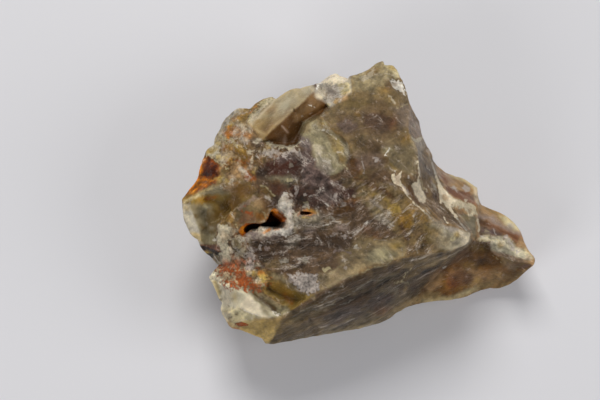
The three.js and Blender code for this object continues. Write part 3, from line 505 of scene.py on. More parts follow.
# The white tongues that run from the right facet over the display face
TONGUES = [
    ("bone", "crisp", area((6.2, 6), (6.8, 6.5), (7.1, 5.9), (7.7, 6), (8.2, 7), (8.2, 4.8), (8.4, 3.8),
        (7.6, 3.9), (6.8, 4.3), (6.2, 5.2)), area((10.3, 4.2), (11.2, 4.7), (11.7, 5.7), (11.9, 4.4),
        (12.4, 3), (13.2, 1.3), (13.2, 0.6), (12.6, 0.3), (11.9, 0.8), (11.1, 2.1), (10.6, 3.4)),
        area((15, 6.6), (15.6, 5.3), (16.5, 3.8), (17.2, 2.8), (18.4, 1.5), (19.4, 1.1), (18.6, 0.2),
        (18.1, -0.5), (17.4, -0.6), (17, 0.1), (16.6, 0.6), (16.2, 0.2), (15.9, 0.5), (15.9, 2.2),
        (15.7, 3.4), (15.3, 4.8))),
    ("pink tan", "thin", area((7, 5.8), (7.8, 5.8), (8, 4.2), (7.2, 4.4))),
    ("bone", "thin", stroke(0.2, (15.1, 6.4), (16.2, 4.2), (17.2, 2.7), (18.6, 1.4))),
    ("tan", "thin", blob(17.2, 1.5, 0.5, 0.3, -45)),
    ("lilac white", "faint", blob(12, 2.6, 1.4, 0.5, -70)),
    ("straw", "faint", blob(16, 4, 0.4, 1.2, 35)),
    ("pink tan", "faint", blob(16.6, 1.4, 0.5, 0.8, 30)),
    ("bone", "crisp", stroke(0.3, (8.1, 4.2), (8.7, 3), (9.8, 1.6), (11, 0.1), (12.2, -0.7), (13.2, -1.6)),
        stroke(0.24, (11.5, 8.8), (11.7, 7.4), (11.8, 6.2), (11.6, 5.4)),
        stroke(0.55, (18, -0.3), (18.6, -1.6), (19.4, -2.8)),
        stroke(0.26, (16.8, -2.5), (17.2, -3.3), (17.6, -3.8))),
    ("pale grey", "thin", stroke(0.3, (13, -1.2), (13.6, -2), (14.6, -3))),
    ("pale grey", "crisp", stroke(0.34, (14.4, 8.4), (14.8, 7.2), (15.2, 6.2)),
        stroke(0.3, (19.4, -2.8), (20.3, -4), (21.3, -5.1))),
]

# The pale nose, and the fibres that fan out from it
NOSE_AND_FAN = [
    ("gold", "wide", area((-2, -2), (-1, 5.4), (4, 4.6), (8, 3.4), (10, 1.2), (13, -1.8), (16, -3.8),
        (14, -8.8), (9, -10.6), (5.5, -11.8), (-0.2, -13.7), (-4, -13), (-6, -8))),
    ("honey", "soft", area((2, 4.6), (6.4, 5), (8.4, 3), (10, 1.2), (8, 0.6), (4, 2.6))),
    ("smoke", "soft", area((-1, 0.8), (1.4, 0), (2.4, -2.4), (6, -4.2), (8, -6), (4, -6.6), (-2, -6),
        (-3, -3))),
    ("red brown", "faint", blob(1.2, -4.8, 1.0, 0.5), blob(2.6, -6.2, 0.9, 0.4)),
    ("beige", "tint", area((0.4, 0.6), (3.4, 0.8), (5, -0.8), (4.4, -2.2), (2.6, -1.6))),
    ("pale grey", "tint", area((2.6, -1.8), (4.4, -2.2), (6.8, -3.6), (5, -4), (3, -3))),
    ("bronze", "soft", stroke(0.9, (-0.8, 5.4), (1.6, 4.4), (4.2, 3.2), (6.4, 1.8))),
    ("yellow", "tint", stroke(0.6, (1.4, 2.6), (3.4, 1.9), (5.4, 0.8))),
    ("pale olive", "tint", stroke(0.4, (-3.6, 1.7), (-1.4, 1.7), (1, 2.1))),
    ("bone", "thin", stroke(0.25, (0.2, 3), (1, 2.5)), blob(-1.2, 1.8, 0.35, 0.3)),
    ("yellow", "near", area((5.2, 0.2), (7.4, 0.4), (8.4, -1.4), (7.4, -2.8), (6.2, -1.6), (5.6, -0.8))),
    ("ochre", "soft", area((7, -2), (9.4, -1), (10.6, -3), (10, -6), (8.6, -5.4), (7.6, -3.6))),
    ("ochre", "tint", area((9, 0.8), (12, -1.6), (14.4, -3.4), (12, -3.2), (9.6, -1))),
    ("bronze", "soft", stroke(0.9, (8.2, -4), (9, -5.4), (9.6, -6.8))),
    ("slate", "soft", area((10.4, -4.4), (12, -4.4), (12.8, -6), (11.4, -6.8), (10.4, -6))),
    ("dark smoke", "thin", blob(12.7, -5.8, 0.6, 0.35)),
    ("bronze", "thin", blob(13, -7.3, 0.4, 0.4)),
    ("white", "thin", blob(6.4, -4, 0.45, 0.18, -15)),
    ("pale grey", "thin", stroke(0.2, (2.6, -6.9), (5.6, -6.9), (7.2, -6.2)),
        stroke(0.3, (8.2, -8.6), (8.5, -10)), stroke(0.3, (11.2, -8.6), (11.6, -9.6))),
    ("olive", "tint", area((12.8, -3.6), (15, -4), (15, -8), (13.4, -7.4))),
    ("chalk", "wide", area((14.4, -3.7), (18, -4.2), (20.6, -4.9), (22.2, -5.8), (21.4, -8.2), (18.6, -8.8),
        (15.4, -8.4), (15, -6))),
    ("lilac white", "tint", stroke(0.5, (2, 1.2), (3, 0.2), (4.2, -0.8)),
        area((16.4, -3.9), (19.4, -4.5), (20.6, -5.6), (18.6, -5.4), (17, -4.8))),
    ("bone", "soft", area((19.8, -4.9), (21.4, -5.4), (22.3, -6), (21.5, -8.3), (20.5, -7.8), (20, -6.4))),
    ("yellow", "tint", blob(19.4, -6, 0.6, 0.6)),
    ("cream", "rough", blob(18.8, -6.7, 0.5, 0.5)),
    ("gold", "faint", blob(16.6, -7, 2, 1.1)),
    ("ochre", "faint", blob(15.2, -5.4, 1.0, 0.8)),
    ("honey", "soft", area((13, -8.2), (16, -8.6), (20, -8.8), (18.6, -10), (14.4, -10.4), (11, -10.4))),
    ("slate", "soft", area((9, -7.8), (13.4, -8.2), (14, -9.8), (9.6, -10.4))),
    ("beige", "tint", area((-4, -9.6), (0, -7.2), (8, -7), (9.4, -9), (8.6, -10.4), (5.6, -11.2),
        (1.6, -12.5), (-2, -13), (-4.4, -11.4)),
        area((-8.4, -13.4), (-4, -12.4), (0, -12.6), (-0.4, -13.8), (-5.6, -16.4), (-8.6, -17.6))),
    ("pale olive", "soft", area((2, -9.4), (5, -8.4), (7.4, -9.6), (6, -10.9), (3, -11.6), (1.4, -11))),
    ("honey", "faint", area((-2, -7.6), (3, -7.4), (2.4, -9), (-1, -10), (-3, -9.6))),
    ("yellow", "tint", blob(7.2, -8, 1.1, 0.5)),
    ("cream", "tint", stroke(0.35, (-6, -13.7), (-4, -12.2), (-1.6, -10.4))),
    ("pale olive", "thin", stroke(0.25, (-6.4, -16.6), (-3, -14.5), (0, -13.7), (3, -12.5), (5.4, -11.8),
        (6.2, -10.9))),
    ("lilac white", "thin", blob(-2.9, -12.6, 0.5, 0.35)),
]

# The hazy plane at the upper right
UPPER_RIGHT = [
    ("honey", "near", area((-2.2, 26.6), (0, 27), (4.4, 29.6), (7.4, 28.6), (9.8, 22), (10, 20.2), (9.7, 15),
        (10.4, 13.6), (11.6, 9), (11.6, 5.6), (8.2, 6.4), (6.2, 6.6), (4, 5), (0, 5.4), (-1.4, 9), (-3.4, 13),
        (-7.6, 16.4), (-6.2, 19.4), (-4, 20.8), (-1.8, 22.4))),
    ("gold", "wide", area((-2.2, 26.6), (4.4, 29.6), (7.4, 28.6), (6.4, 25), (5, 22.4), (3, 20.6), (-1.6, 21),
        (-1.8, 23))),
    ("cream", "faint", area((-1.6, 26.4), (4.4, 29.4), (7.2, 28.4), (6.4, 25), (3, 22.4), (-1, 23))),
    ("bone", "thin", area((-0.6, 25.4), (1.4, 26.2), (3, 27.6), (2.6, 25.8), (0.8, 24.6)),
        stroke(0.25, (4, 26.1), (6, 26.1), (7, 25.7)), stroke(0.5, (5.8, 21.7), (6.5, 20.9), (7.2, 20.4))),
    ("ochre", "faint", blob(4.6, 23.2, 1.3, 0.9)),
    ("ochre", "tint", blob(2.6, 26.7, 1.6, 0.7, 15)),
    ("slate", "faint", blob(1.4, 22.2, 1.4, 0.5, 20)),
    ("beige", "tint", blob(4.2, 28.2, 0.7, 0.8)),
    ("beige", "thin", blob(0.8, 23.8, 0.5, 0.15, -30)),
    ("cream", "near", area((4.6, 28.2), (7.4, 28.4), (8.4, 25.8), (7, 25.2), (6.4, 26.4))),
    ("smoke", "tint", area((5, 25.2), (6.6, 24.8), (7, 23.6), (5.6, 22.6), (5, 23.6))),
    # Painted highlight: the white glints at the top right
    ("white", "crumbly", area((5.8, 24.7), (7.6, 24.9), (8.7, 23.6), (9.3, 22), (8, 22.1), (7, 22.9),
        (6.4, 23.9))),
    ("slate", "thin", blob(6.8, 24, 0.5, 0.3)),
    ("gold", "tint", area((4.6, 22.6), (6, 22.6), (6.4, 20.8), (5, 20.2))),
    ("cream", "thin", stroke(0.25, (7.2, 19.5), (8.4, 19.6), (9.6, 20))),
    ("olive", "faint", area((-4.4, 20.4), (-2, 21.4), (2, 20.4), (0, 19), (-4, 19.4))),
    ("slate", "soft", area((-6.4, 18), (-1, 18.4), (0.6, 19), (4, 21.4), (6, 20), (7, 17), (8, 14.6),
        (4, 13.8), (1, 14.4), (-2, 13.4), (-5, 15))),
    ("lilac", "tint", area((-4.8, 16), (-2.6, 17.4), (-0.4, 17), (-0.4, 15.2), (-3, 14.4))),
    ("purple brown", "tint", area((1, 18.2), (4, 18.4), (7, 16.8), (6, 14.6), (2.6, 15), (0.8, 16))),
    ("gold", "faint", area((-6.8, 17.4), (-6, 19), (-4.6, 18.8), (-4.6, 16.6), (-6, 15.8))),
    ("ochre", "tint", blob(-0.3, 18.2, 0.7, 0.5)),
    ("honey", "tint", blob(-0.8, 17, 0.6, 0.5)),
    ("ash", "faint", area((6.4, 19.4), (9.6, 19.8), (9.6, 15.6), (8, 15), (7.4, 17.4))),
    ("red brown", "faint", blob(6.8, 16.6, 0.9, 1.4)),
    ("white", "thin", blob(8.9, 14.6, 0.22, 0.22), blob(9.7, 5.4, 0.2, 0.3)),
    ("gold", "tint", area((4.4, 13.2), (7, 14), (10.2, 14), (10, 12.3), (7, 12), (5, 12.1))),
    ("ochre", "soft", blob(9.1, 13.2, 0.9, 0.5, 15)),
    ("cream", "faint", blob(5.6, 12.5, 1.0, 0.25)),
    ("beige", "tint", area((9.8, 13.4), (11.4, 13), (11.6, 10.4), (10.2, 11))),
    ("dark slate", "soft", area((-2.4, 13.2), (0, 13.8), (4, 12.6), (4.4, 10.4), (2, 10), (-0.6, 11))),
    ("beige", "faint", stroke(0.3, (-6.2, 19), (-5.4, 17.4), (-5.2, 16.2)), blob(2.2, 13, 0.9, 0.3, 10)),
    ("dark smoke", "faint", area((1, 12.2), (3.8, 12), (4, 10.4), (1.6, 10.6))),
    ("grey olive", "faint", area((4.4, 12.2), (9, 12), (11, 11.4), (11.4, 8), (10.8, 6), (8.8, 6), (6.6, 8),
        (4.8, 9.6))),
    ("pale olive", "tint", area((4.4, 11.8), (6.2, 11.8), (6.4, 10.8), (4.6, 10.6))),
    ("dark amber", "tint", blob(5, 9, 0.9, 0.7)),
    # Painted glint: a white highlight on a small facet
    ("white", "crisp", stroke(0.3, (5.8, 11.3), (5.5, 10.7), (4.9, 10.4), (4.9, 10), (5.3, 9.8))),
    ("slate", "soft", area((0.2, 10), (4.6, 9.8), (4.8, 7.4), (1.2, 6.4), (0.4, 8))),
    ("lilac white", "thin", stroke(0.25, (0.4, 9.9), (0.3, 9), (0.8, 7.8), (0.8, 6.4))),
    ("lilac white", "rough", blob(3.3, 8.9, 0.6, 0.4, -20)),
    ("bronze", "soft", area((-2.2, 8.8), (-1, 9.2), (0.2, 8.2), (0.6, 6.2), (-1.8, 6))),
    ("smoke", "soft", area((1, 6.4), (6, 7.2), (6.2, 4.4), (2, 4.6))),
    ("yellow", "tint", blob(6.5, 27.4, 0.9, 0.5, -30), stroke(0.4, (6.1, 8.2), (6.6, 7.7), (7.2, 7.1))),
    ("smoke", "faint", area((1.4, 15.4), (7.6, 15), (8, 12.2), (6, 11.4), (1, 12.2))),
    ("lilac", "faint", area((-1.4, 10.4), (4.6, 10.4), (4.8, 7.6), (-0.6, 7))),
]

# The plumed yellow-green patch above the middle
PALE_PATCH = [
    ("pale olive", "near", area((-12, 16.4), (-9, 17.8), (-7.2, 17.4), (-6, 15.2), (-3.8, 13.4), (-2.3, 12),
        (-2.2, 10), (-3, 7.6), (-4, 6.6), (-6, 6), (-8.6, 7.4), (-9.4, 9.8), (-9.6, 12), (-11, 12.4),
        (-12.2, 14.4))),
    ("honey", "soft", area((-11.8, 17), (-8, 18.2), (-6.8, 19), (-6, 17), (-7.6, 16.6))),
    ("honey", "tint", area((-12, 16), (-10, 16.6), (-9.8, 14.6), (-12, 14.2))),
    ("ash", "soft", area((-12.2, 14), (-10.6, 13.4), (-9.4, 12.4), (-10, 10.6), (-12, 11.6))),
    ("pale grey", "tint", area((-9.2, 9.6), (-6.4, 9.2), (-5, 6.8), (-6.4, 5.8), (-8.8, 7))),
    ("lilac", "faint", blob(-7.4, 7.2, 1.2, 0.8)),
    ("straw", "tint", area((-6.6, 14.4), (-4.2, 13.2), (-3.2, 11), (-3.6, 9.4), (-5.4, 10.6))),
    ("honey", "tint", stroke(0.7, (-8.6, 16.4), (-6.4, 14), (-4.6, 10.6), (-3.2, 8))),
    ("ochre", "tint", blob(-3.3, 9.1, 0.6, 0.8),
        stroke(0.4, (-8, 16.3), (-6.7, 15.6), (-5.4, 14.8), (-4.8, 14.2))),
    ("cream", "tint", stroke(0.5, (-8, 14), (-7.2, 12.9), (-6.2, 12.3)),
        stroke(0.5, (-9.6, 14.8), (-8.6, 14.6), (-7.8, 14))),
    ("white", "thin", blob(-7.2, 15, 0.4, 0.35)),
    ("bone", "tint", area((-9.5, 12), (-8.2, 12.1), (-7, 11.8), (-7.5, 10.9), (-8, 9.8), (-8.6, 10.2),
        (-9, 10.8))),
    ("bone", "thin", stroke(0.25, (-8.9, 10.8), (-8.8, 9.4), (-8.4, 8.4))),
    ("grey olive", "thin", blob(-7, 10.6, 0.4, 0.6)),
    ("cream", "thin", stroke(0.25, (-11.3, 12.8), (-10.8, 13.7)),
        stroke(0.3, (-3.4, 8.2), (-2.8, 7.6), (-2.4, 7))),
    # Painted shadow: the dark line under the ledge of the hazy plane
    ("bronze", "faint", stroke(0.5, (-4.6, 14.3), (-3.4, 13.5), (-2.2, 12.2))),
    ("yellow", "tint", blob(-7.3, 16, 0.5, 0.4)),
]

# The lilac and brown fibrous middle
MIDDLE = [
    ("lilac", "soft", area((-12.2, 10.4), (-10, 11.4), (-9, 8), (-6.4, 5.4), (-3.6, 3.6), (-6, 2.6),
        (-12, 3))),
    ("purple brown", "soft", area((-18.6, 9.6), (-15, 10.4), (-12, 9.6), (-12.1, 5.4), (-14, 5.2),
        (-17.8, 5.6), (-19.4, 7.4))),
    ("dark rust", "tint", blob(-15.8, 7.6, 3.2, 2)),
    ("lilac", "tint", blob(-15.6, 8.6, 0.7, 0.5)),
    ("lilac white", "thin", stroke(0.35, (-11.4, 7.2), (-11.8, 6.4)),
        area((-4.4, -0.5), (-3.7, -0.3), (-3.5, 0.7), (-2.8, 0.6), (-2.7, 0.1), (-3.6, -0.5)),
        stroke(0.3, (-2.6, -4), (-1.9, -3.4)), blob(-8.3, -7.2, 0.6, 0.2, 10),
        stroke(0.4, (-3.6, -11.2), (-2.8, -10.9))),
    ("white", "thin", blob(-14.4, 6.6, 0.2, 0.2), blob(-9.2, 9.1, 0.25, 0.2), blob(-1, -8.3, 0.5, 0.35)),
    ("bronze", "rough", area((-22.2, 8), (-20.4, 9.1), (-19.3, 9), (-19.5, 7.6), (-21.4, 7.5))),
    ("dark smoke", "soft", area((-21, 7.6), (-18.4, 7.6), (-18.4, 5.2), (-20.8, 5.2))),
    ("grey olive", "soft", area((-18.6, 5.4), (-14, 6), (-12.6, 5), (-14.4, 3.8), (-16, 4.6), (-18, 4.8))),
    ("bronze", "soft", area((-18.8, 4.6), (-16.2, 4.8), (-15.4, 3.4), (-16.2, 0.4), (-17.6, 0.4),
        (-17, 2.6))),
    ("purple brown", "soft", area((-14, 4.2), (-8, 3.2), (-2.6, 5.4), (-0.8, 3.4), (-1, -0.8), (-8, -1),
        (-13.6, -0.6))),
    ("ash", "faint", blob(-6.4, 1.8, 2.4, 1.0, -15)),
    ("dark smoke", "tint", blob(-8.8, 3.2, 1.0, 0.6), blob(-7.4, -0.3, 1.5, 0.6), blob(-10.8, 3.8, 0.5, 1.0)),
    ("dark amber", "soft", area((-7, -0.6), (-3, 0.4), (-1, -0.6), (-2, -2.6), (-5, -2.4))),
    ("amber", "tint", area((-4, 1.4), (0, 1.6), (0, 0.6), (-3.6, 0.4))),
    ("lilac white", "rough", area((-13.4, 4), (-12.6, 3.9), (-12.1, 2.8), (-12.6, 2.1), (-13.2, 2.4),
        (-12.9, 3)), stroke(0.5, (-11, 2.1), (-9.8, 1.9), (-8.6, 2)), blob(-5, 2, 0.6, 0.4),
        stroke(0.35, (-6.4, -6), (-4.6, -5.8), (-3, -6.2), (-1.2, -6.3)), blob(-20, -8.3, 0.4, 0.8, -20)),
    ("ash", "thin", blob(-17.3, 0.3, 0.35, 0.4), stroke(0.3, (-12.9, 2.2), (-13, 1.4))),
    ("pale olive", "thin", stroke(0.35, (-11.6, 0.6), (-10.6, 0.5), (-10.2, -0.2), (-10.4, -0.8))),
    ("smoke", "soft", area((-13.6, -2.8), (-8, -2), (0, -1.6), (1, -4), (-2, -8), (-6, -11), (-12, -12.6),
        (-19.6, -13), (-20.6, -10.4), (-22.8, -8), (-22.4, -5.8), (-14, -5.6))),
    ("dark smoke", "tint", area((-13, -6.2), (-8, -6), (-1.4, -6.4), (-1.6, -8.6), (-6, -9), (-8, -9.6),
        (-13, -9)), area((-22, -7.2), (-16, -7), (-14, -8.4), (-14.6, -10.4), (-19, -10.4), (-22, -9))),
    ("dark smoke", "soft", blob(-12.1, 0.3, 1.6, 0.7), blob(-11.6, 1.4, 1.2, 0.4),
        blob(-19.9, -9.3, 1.0, 0.7)),
    ("slate", "soft", area((-12.8, -3.4), (-8, -2.6), (-2, -3), (-2, -5), (-8, -4.8), (-12.6, -5))),
    ("beige", "tint", area((-12.2, -2.6), (-8, -2.4), (-7.8, -3.6), (-11.8, -4))),
    ("ash", "tint", area((-22.8, -5.6), (-20.6, -5), (-17, -5.8), (-15, -6.2), (-17, -7), (-21, -7),
        (-22.6, -7)), blob(-10, -5.2, 1.2, 0.5), blob(-3.6, -4.6, 1.6, 0.7)),
    ("white", "crisp", stroke(0.22, (-7.4, -4.2), (-6.4, -3.9), (-5.9, -3.7), (-5.1, -3))),
    ("pale grey", "rough", blob(-11.2, -0.4, 0.9, 0.4), stroke(0.4, (-6.8, -2.8), (-5.4, -2.5)),
        area((-16.4, -10.6), (-14.8, -10.2), (-14.2, -10.8), (-14.4, -11.6), (-15.8, -11.5)),
        blob(-11.1, -11.2, 0.8, 0.6, -30)),
    ("pale grey", "thin", blob(-13.9, 7.9, 0.3, 0.5), stroke(0.25, (-0.8, -8.5), (0.2, -8.8))),
    ("ash", "rough", stroke(0.5, (-5.2, -9.3), (-4, -8.9), (-2, -9.5)), blob(-21.6, -8.7, 0.7, 0.5),
        blob(-18.7, -8.4, 0.4, 0.5)),
    ("honey", "tint", area((-4, 5.4), (-1.4, 5.4), (-0.8, 3.6), (-3.6, 3.2)),
        area((-19.6, -10.6), (-16.8, -10.8), (-14, -12), (-12, -13), (-16, -13.2), (-18.8, -12.4))),
    ("dark smoke", "tint", area((-16.4, -12.2), (-13.4, -12.8), (-13.6, -13.9), (-16.2, -13.6))),
    ("ochre", "tint", area((-19.6, -12.8), (-17.2, -13.4), (-16.4, -14.4), (-18, -14.8), (-19.6, -14.2))),
    ("lilac white", "crumbly", area((-14.9, -14.2), (-12, -14), (-8.6, -13.8), (-8, -15.4), (-8.4, -17.2),
        (-10.4, -17.8), (-12.4, -16.8), (-14, -15.4))),
    ("ash", "soft", area((-13, -14.8), (-10.4, -14.2), (-9, -15.6), (-10.2, -17.2), (-12.4, -16))),
    ("beige", "soft", stroke(0.9, (-17.6, -13.8), (-15.6, -14.9), (-14, -16.2), (-12, -17.6), (-9.6, -18.3))),
    ("cream", "rough", blob(-14.3, 4.9, 0.8, 0.35, 15), blob(-6.8, -12.8, 0.9, 0.4, 15)),
    ("dark rust", "tint", area((-18, 4.4), (-14.6, 4), (-14.4, 2.6), (-16, 2), (-17.8, 2.4))),
    ("smoke", "tint", area((-10, -9.4), (-6, -9.4), (-6, -13), (-10, -13))),
    ("smoke", "faint", area((-9, -9.4), (-2, -9.4), (0.6, -11), (-2, -13), (-8.6, -13.6))),
    ("pale grey", "faint", area((-14.6, -6), (-12, -6.4), (-13, -8.4), (-14.6, -9)),
        area((-13.4, -1.4), (-7.6, -1.6), (-7.6, -4.6), (-13, -5))),
]

# The crust on the left flank, with its orange stain
LEFT_CRUST = [
    ("gold", "near", area((-32.6, 9), (-31.6, 11.8), (-30, 13.8), (-28.4, 17.6), (-24.8, 20.4), (-22, 20),
        (-18.4, 22.6), (-16.8, 21.4), (-22, 16.2), (-20.6, 14.6), (-19, 13.4), (-18, 12), (-16.4, 10.8),
        (-18.4, 9), (-19.6, 8.4), (-21.4, 6), (-21, 4.4), (-26, 4.6), (-29, 5))),
    ("tan", "soft", area((-26.6, 15), (-23, 16), (-21, 15.6), (-20, 13), (-22, 12.4), (-26, 12))),
    ("straw", "soft", area((-25.8, 19.2), (-23, 19.8), (-21, 19.6), (-22, 17.6), (-24.6, 17)),
        blob(-26.2, 15.9, 0.9, 0.7)),
    ("pale grey", "crumbly", area((-28.4, 15.6), (-26.4, 18.4), (-24.9, 20.2), (-24.8, 18.8), (-25.8, 17.4),
        (-26.6, 15))),
    ("grey olive", "soft", blob(-28.6, 13.4, 0.5, 0.9)),
    ("orange", "tint", blob(-26.1, 15.4, 0.4, 0.4), blob(-25.8, 14.3, 1.2, 0.5)),
    ("orange", "faint", blob(-24.6, 17.6, 0.9, 0.5, 30)),
    ("orange", "thin", stroke(0.25, (-22.2, 18), (-21.2, 19.2), (-20.2, 20))),
    ("cream", "rough", stroke(0.7, (-22.2, 16.8), (-20.6, 18.6), (-18.8, 20.4), (-17.4, 21.2))),
    ("red brown", "tint", blob(-25, 14.6, 0.7, 0.4)),
    ("amber", "tint", area((-27.4, 12), (-24, 12.4), (-21.6, 11), (-21, 8), (-22.6, 5.4), (-26.6, 5.4),
        (-28.4, 9))),
    ("yellow", "tint", area((-30.4, 11.8), (-28.8, 13.4), (-27.6, 14.4), (-27.2, 12), (-28.6, 10.8),
        (-30.6, 10.6)), blob(-26.6, 16.2, 0.9, 0.6, 50)),
    ("orange", "tint", stroke(0.8, (-27, 14.8), (-26.2, 13), (-26.6, 10.8)), blob(-22.4, 6.5, 0.7, 0.4, -40)),
    ("ochre", "tint", blob(-22.4, 18.3, 0.9, 0.5, 40),
        area((-25.4, 17.6), (-24, 19.4), (-21.6, 19.2), (-19.8, 20.8), (-21.4, 18.2), (-23.2, 16.6)),
        area((-27.2, 12.6), (-24.6, 13.4), (-22.4, 12), (-21.6, 9.4), (-23.4, 8.2), (-26.8, 8.8))),
    ("orange", "faint", stroke(0.9, (-26.6, 14.4), (-24.4, 14.8), (-22.6, 13.6))),
    ("yellow", "tint", stroke(0.6, (-26.2, 10.6), (-24.8, 9.8), (-23.8, 9.2))),
    ("bone", "rough", stroke(0.3, (-24.6, 13.6), (-23.4, 12.8), (-22.2, 13.2), (-21, 12.6), (-20, 13.2)),
        stroke(0.3, (-24.2, 16.6), (-23.8, 15.4), (-22.6, 15.4), (-22, 14.2)),
        stroke(0.25, (-23, 11.8), (-22.4, 10.4), (-21.4, 9.6), (-21.6, 8.4))),
    ("lilac white", "rough", stroke(0.3, (-24.6, 11.4), (-24.2, 10.2), (-22.8, 9.2))),
    ("bone", "crumbly", area((-31.4, 10.2), (-30.4, 12.2), (-28.6, 13.2), (-27.6, 12), (-28, 9.6),
        (-30, 9.4))),
    ("straw", "rough", blob(-28.1, 12.4, 0.6, 0.5), blob(-29.6, 10.9, 1.0, 0.45, 15)),
    ("pink tan", "thin", stroke(0.5, (-27.3, 13), (-27.2, 10.4))),
    ("amber", "thin", stroke(0.35, (-26.8, 13), (-26.7, 10.6))),
    ("chalk", "crumbly", area((-30.2, 9.8), (-28.4, 10.2), (-26.8, 9), (-26.6, 8), (-28, 8.6))),
    ("lilac white", "thin", blob(-22.7, 12.3, 0.4, 0.3), blob(-23.5, 13.2, 0.3, 0.3)),
    ("smoke", "soft", area((-22.6, 13.2), (-18.8, 12.6), (-19, 11.2), (-22.4, 11.2))),
    ("slate", "soft", area((-22.4, 11), (-16, 10.6), (-17.6, 9), (-21.6, 8.8))),
    ("bone", "thin", stroke(0.5, (-21.8, 16.7), (-20, 18.8), (-18.2, 20.6)),
        stroke(0.25, (-22, 12.2), (-20.6, 12.4), (-19.9, 11.9)), stroke(0.25, (-21.8, 10.6), (-20.6, 10.8),
        (-19.8, 10.4), (-19, 11.2), (-18.4, 10.4), (-18.8, 9.6), (-19.4, 9.8)),
        stroke(0.2, (-18, 12), (-17, 10.4), (-17.2, 8.8), (-17.4, 8))),
    ("chalk", "rough", stroke(0.7, (-18.4, 12.3), (-16.4, 11.8), (-14.6, 11.6), (-14, 11.1), (-12, 12.3))),
    ("bone", "thin", stroke(0.25, (-16.6, 10.2), (-14, 10.8), (-12, 11))),
    ("ochre", "crumbly", area((-26.6, 10.6), (-24, 10.8), (-23.6, 9.6), (-25.6, 9))),
    ("rust", "rough", stroke(0.6, (-26.6, 8.8), (-24.8, 8.7), (-23, 8.5)), blob(-29.6, 5.6, 1.2, 0.35, 10)),
    ("dark rust", "thin", blob(-25.6, 8.7, 0.4, 0.2), blob(-23.4, 8.4, 0.4, 0.2),
        blob(-33, 3.4, 0.9, 0.25, 40)),
    ("straw", "rough", stroke(0.5, (-28.2, 9.4), (-26.8, 9.6), (-25.6, 8.4), (-24, 8))),
    ("tan", "crumbly", area((-26.2, 8), (-24, 8.2), (-22.8, 7.2), (-23.4, 5.4), (-26, 5))),
    ("honey", "tint", area((-28.2, 7.8), (-26.4, 8), (-25.9, 6), (-27.6, 5.4))),
    ("white", "thin", blob(-23.3, 7.1, 0.6, 0.25, -15)),
    ("rust", "tint", area((-23.2, 6), (-21.4, 6), (-20.8, 4.8), (-22.8, 4.6))),
    ("straw", "thin", blob(-21.3, 6.6, 0.4, 0.45), stroke(0.2, (-31.9, 6.4), (-31.2, 6))),
    ("rust", "soft", area((-32.4, 6), (-31.4, 8.4), (-30.6, 10), (-29.6, 9.4), (-28.3, 8), (-28.2, 6.2),
        (-27.6, 5.2), (-29, 4.2), (-32, 3), (-35, 2), (-34, 5))),
    ("orange", "soft", area((-34.8, 2.4), (-33, 5), (-30.6, 5.2), (-29, 5), (-30, 4.2), (-33.4, 2.6))),
    ("dark rust", "soft", area((-31.6, 5.8), (-31.4, 7.6), (-30.2, 8.4), (-28.6, 7.4), (-28.2, 5.8),
        (-29.4, 5), (-31, 5.2))),
    ("dark rust", "tint", blob(-30.2, 9.2, 0.4, 0.8, -20), blob(-31.6, 4.4, 1.6, 0.3, 15)),
    ("orange", "tint", stroke(0.4, (-32.4, 6.4), (-31.4, 5.6), (-30.2, 4.8))),
    ("bone", "rough", blob(-31.6, 8.6, 0.35, 0.8, -25)),
    ("cream", "rough", stroke(0.7, (-20, 20.2), (-18.2, 21.4)),
        stroke(0.35, (-30.4, 9.8), (-29, 8.8), (-27.8, 8.2), (-26.8, 7.2)),
        stroke(0.5, (-27.8, 13.8), (-26.6, 12.6), (-25.6, 13.2), (-24.6, 12))),
    ("straw", "soft", area((-29.6, 5.4), (-27, 5.8), (-25.6, 4.8), (-28, 4))),
    ("yellow", "rough", blob(-30.3, 11.1, 0.6, 0.5)),
    ("amber", "tint", area((-24.2, 8.4), (-22.4, 8), (-20.8, 6.4), (-21, 4.6), (-23, 4.6), (-23.8, 6.4))),
    ("orange", "soft", stroke(0.7, (-33.2, 4.6), (-32, 6.6), (-31.2, 8.8)), blob(-23.3, 7, 0.8, 0.4, -30)),
    ("rust", "soft", stroke(0.6, (-22.8, 6.6), (-22, 5.6), (-21.2, 5.2))),
    ("lilac white", "rough", stroke(0.8, (-19, 10.2), (-17, 10.8), (-15, 10.2), (-13, 10.6), (-12, 9.8)),
        stroke(0.3, (-18, 9.8), (-16.4, 9.4), (-15.2, 9.8), (-13.8, 9))),
    ("ash", "faint", stroke(1.2, (-17.6, 9.4), (-15.4, 9.6), (-13.4, 9.4))),
    ("yellow", "faint", blob(-28.6, 12, 1.3, 1.2, 30)),
    ("straw", "faint", blob(-24.6, 11.6, 1.6, 1.2, -20)),
]

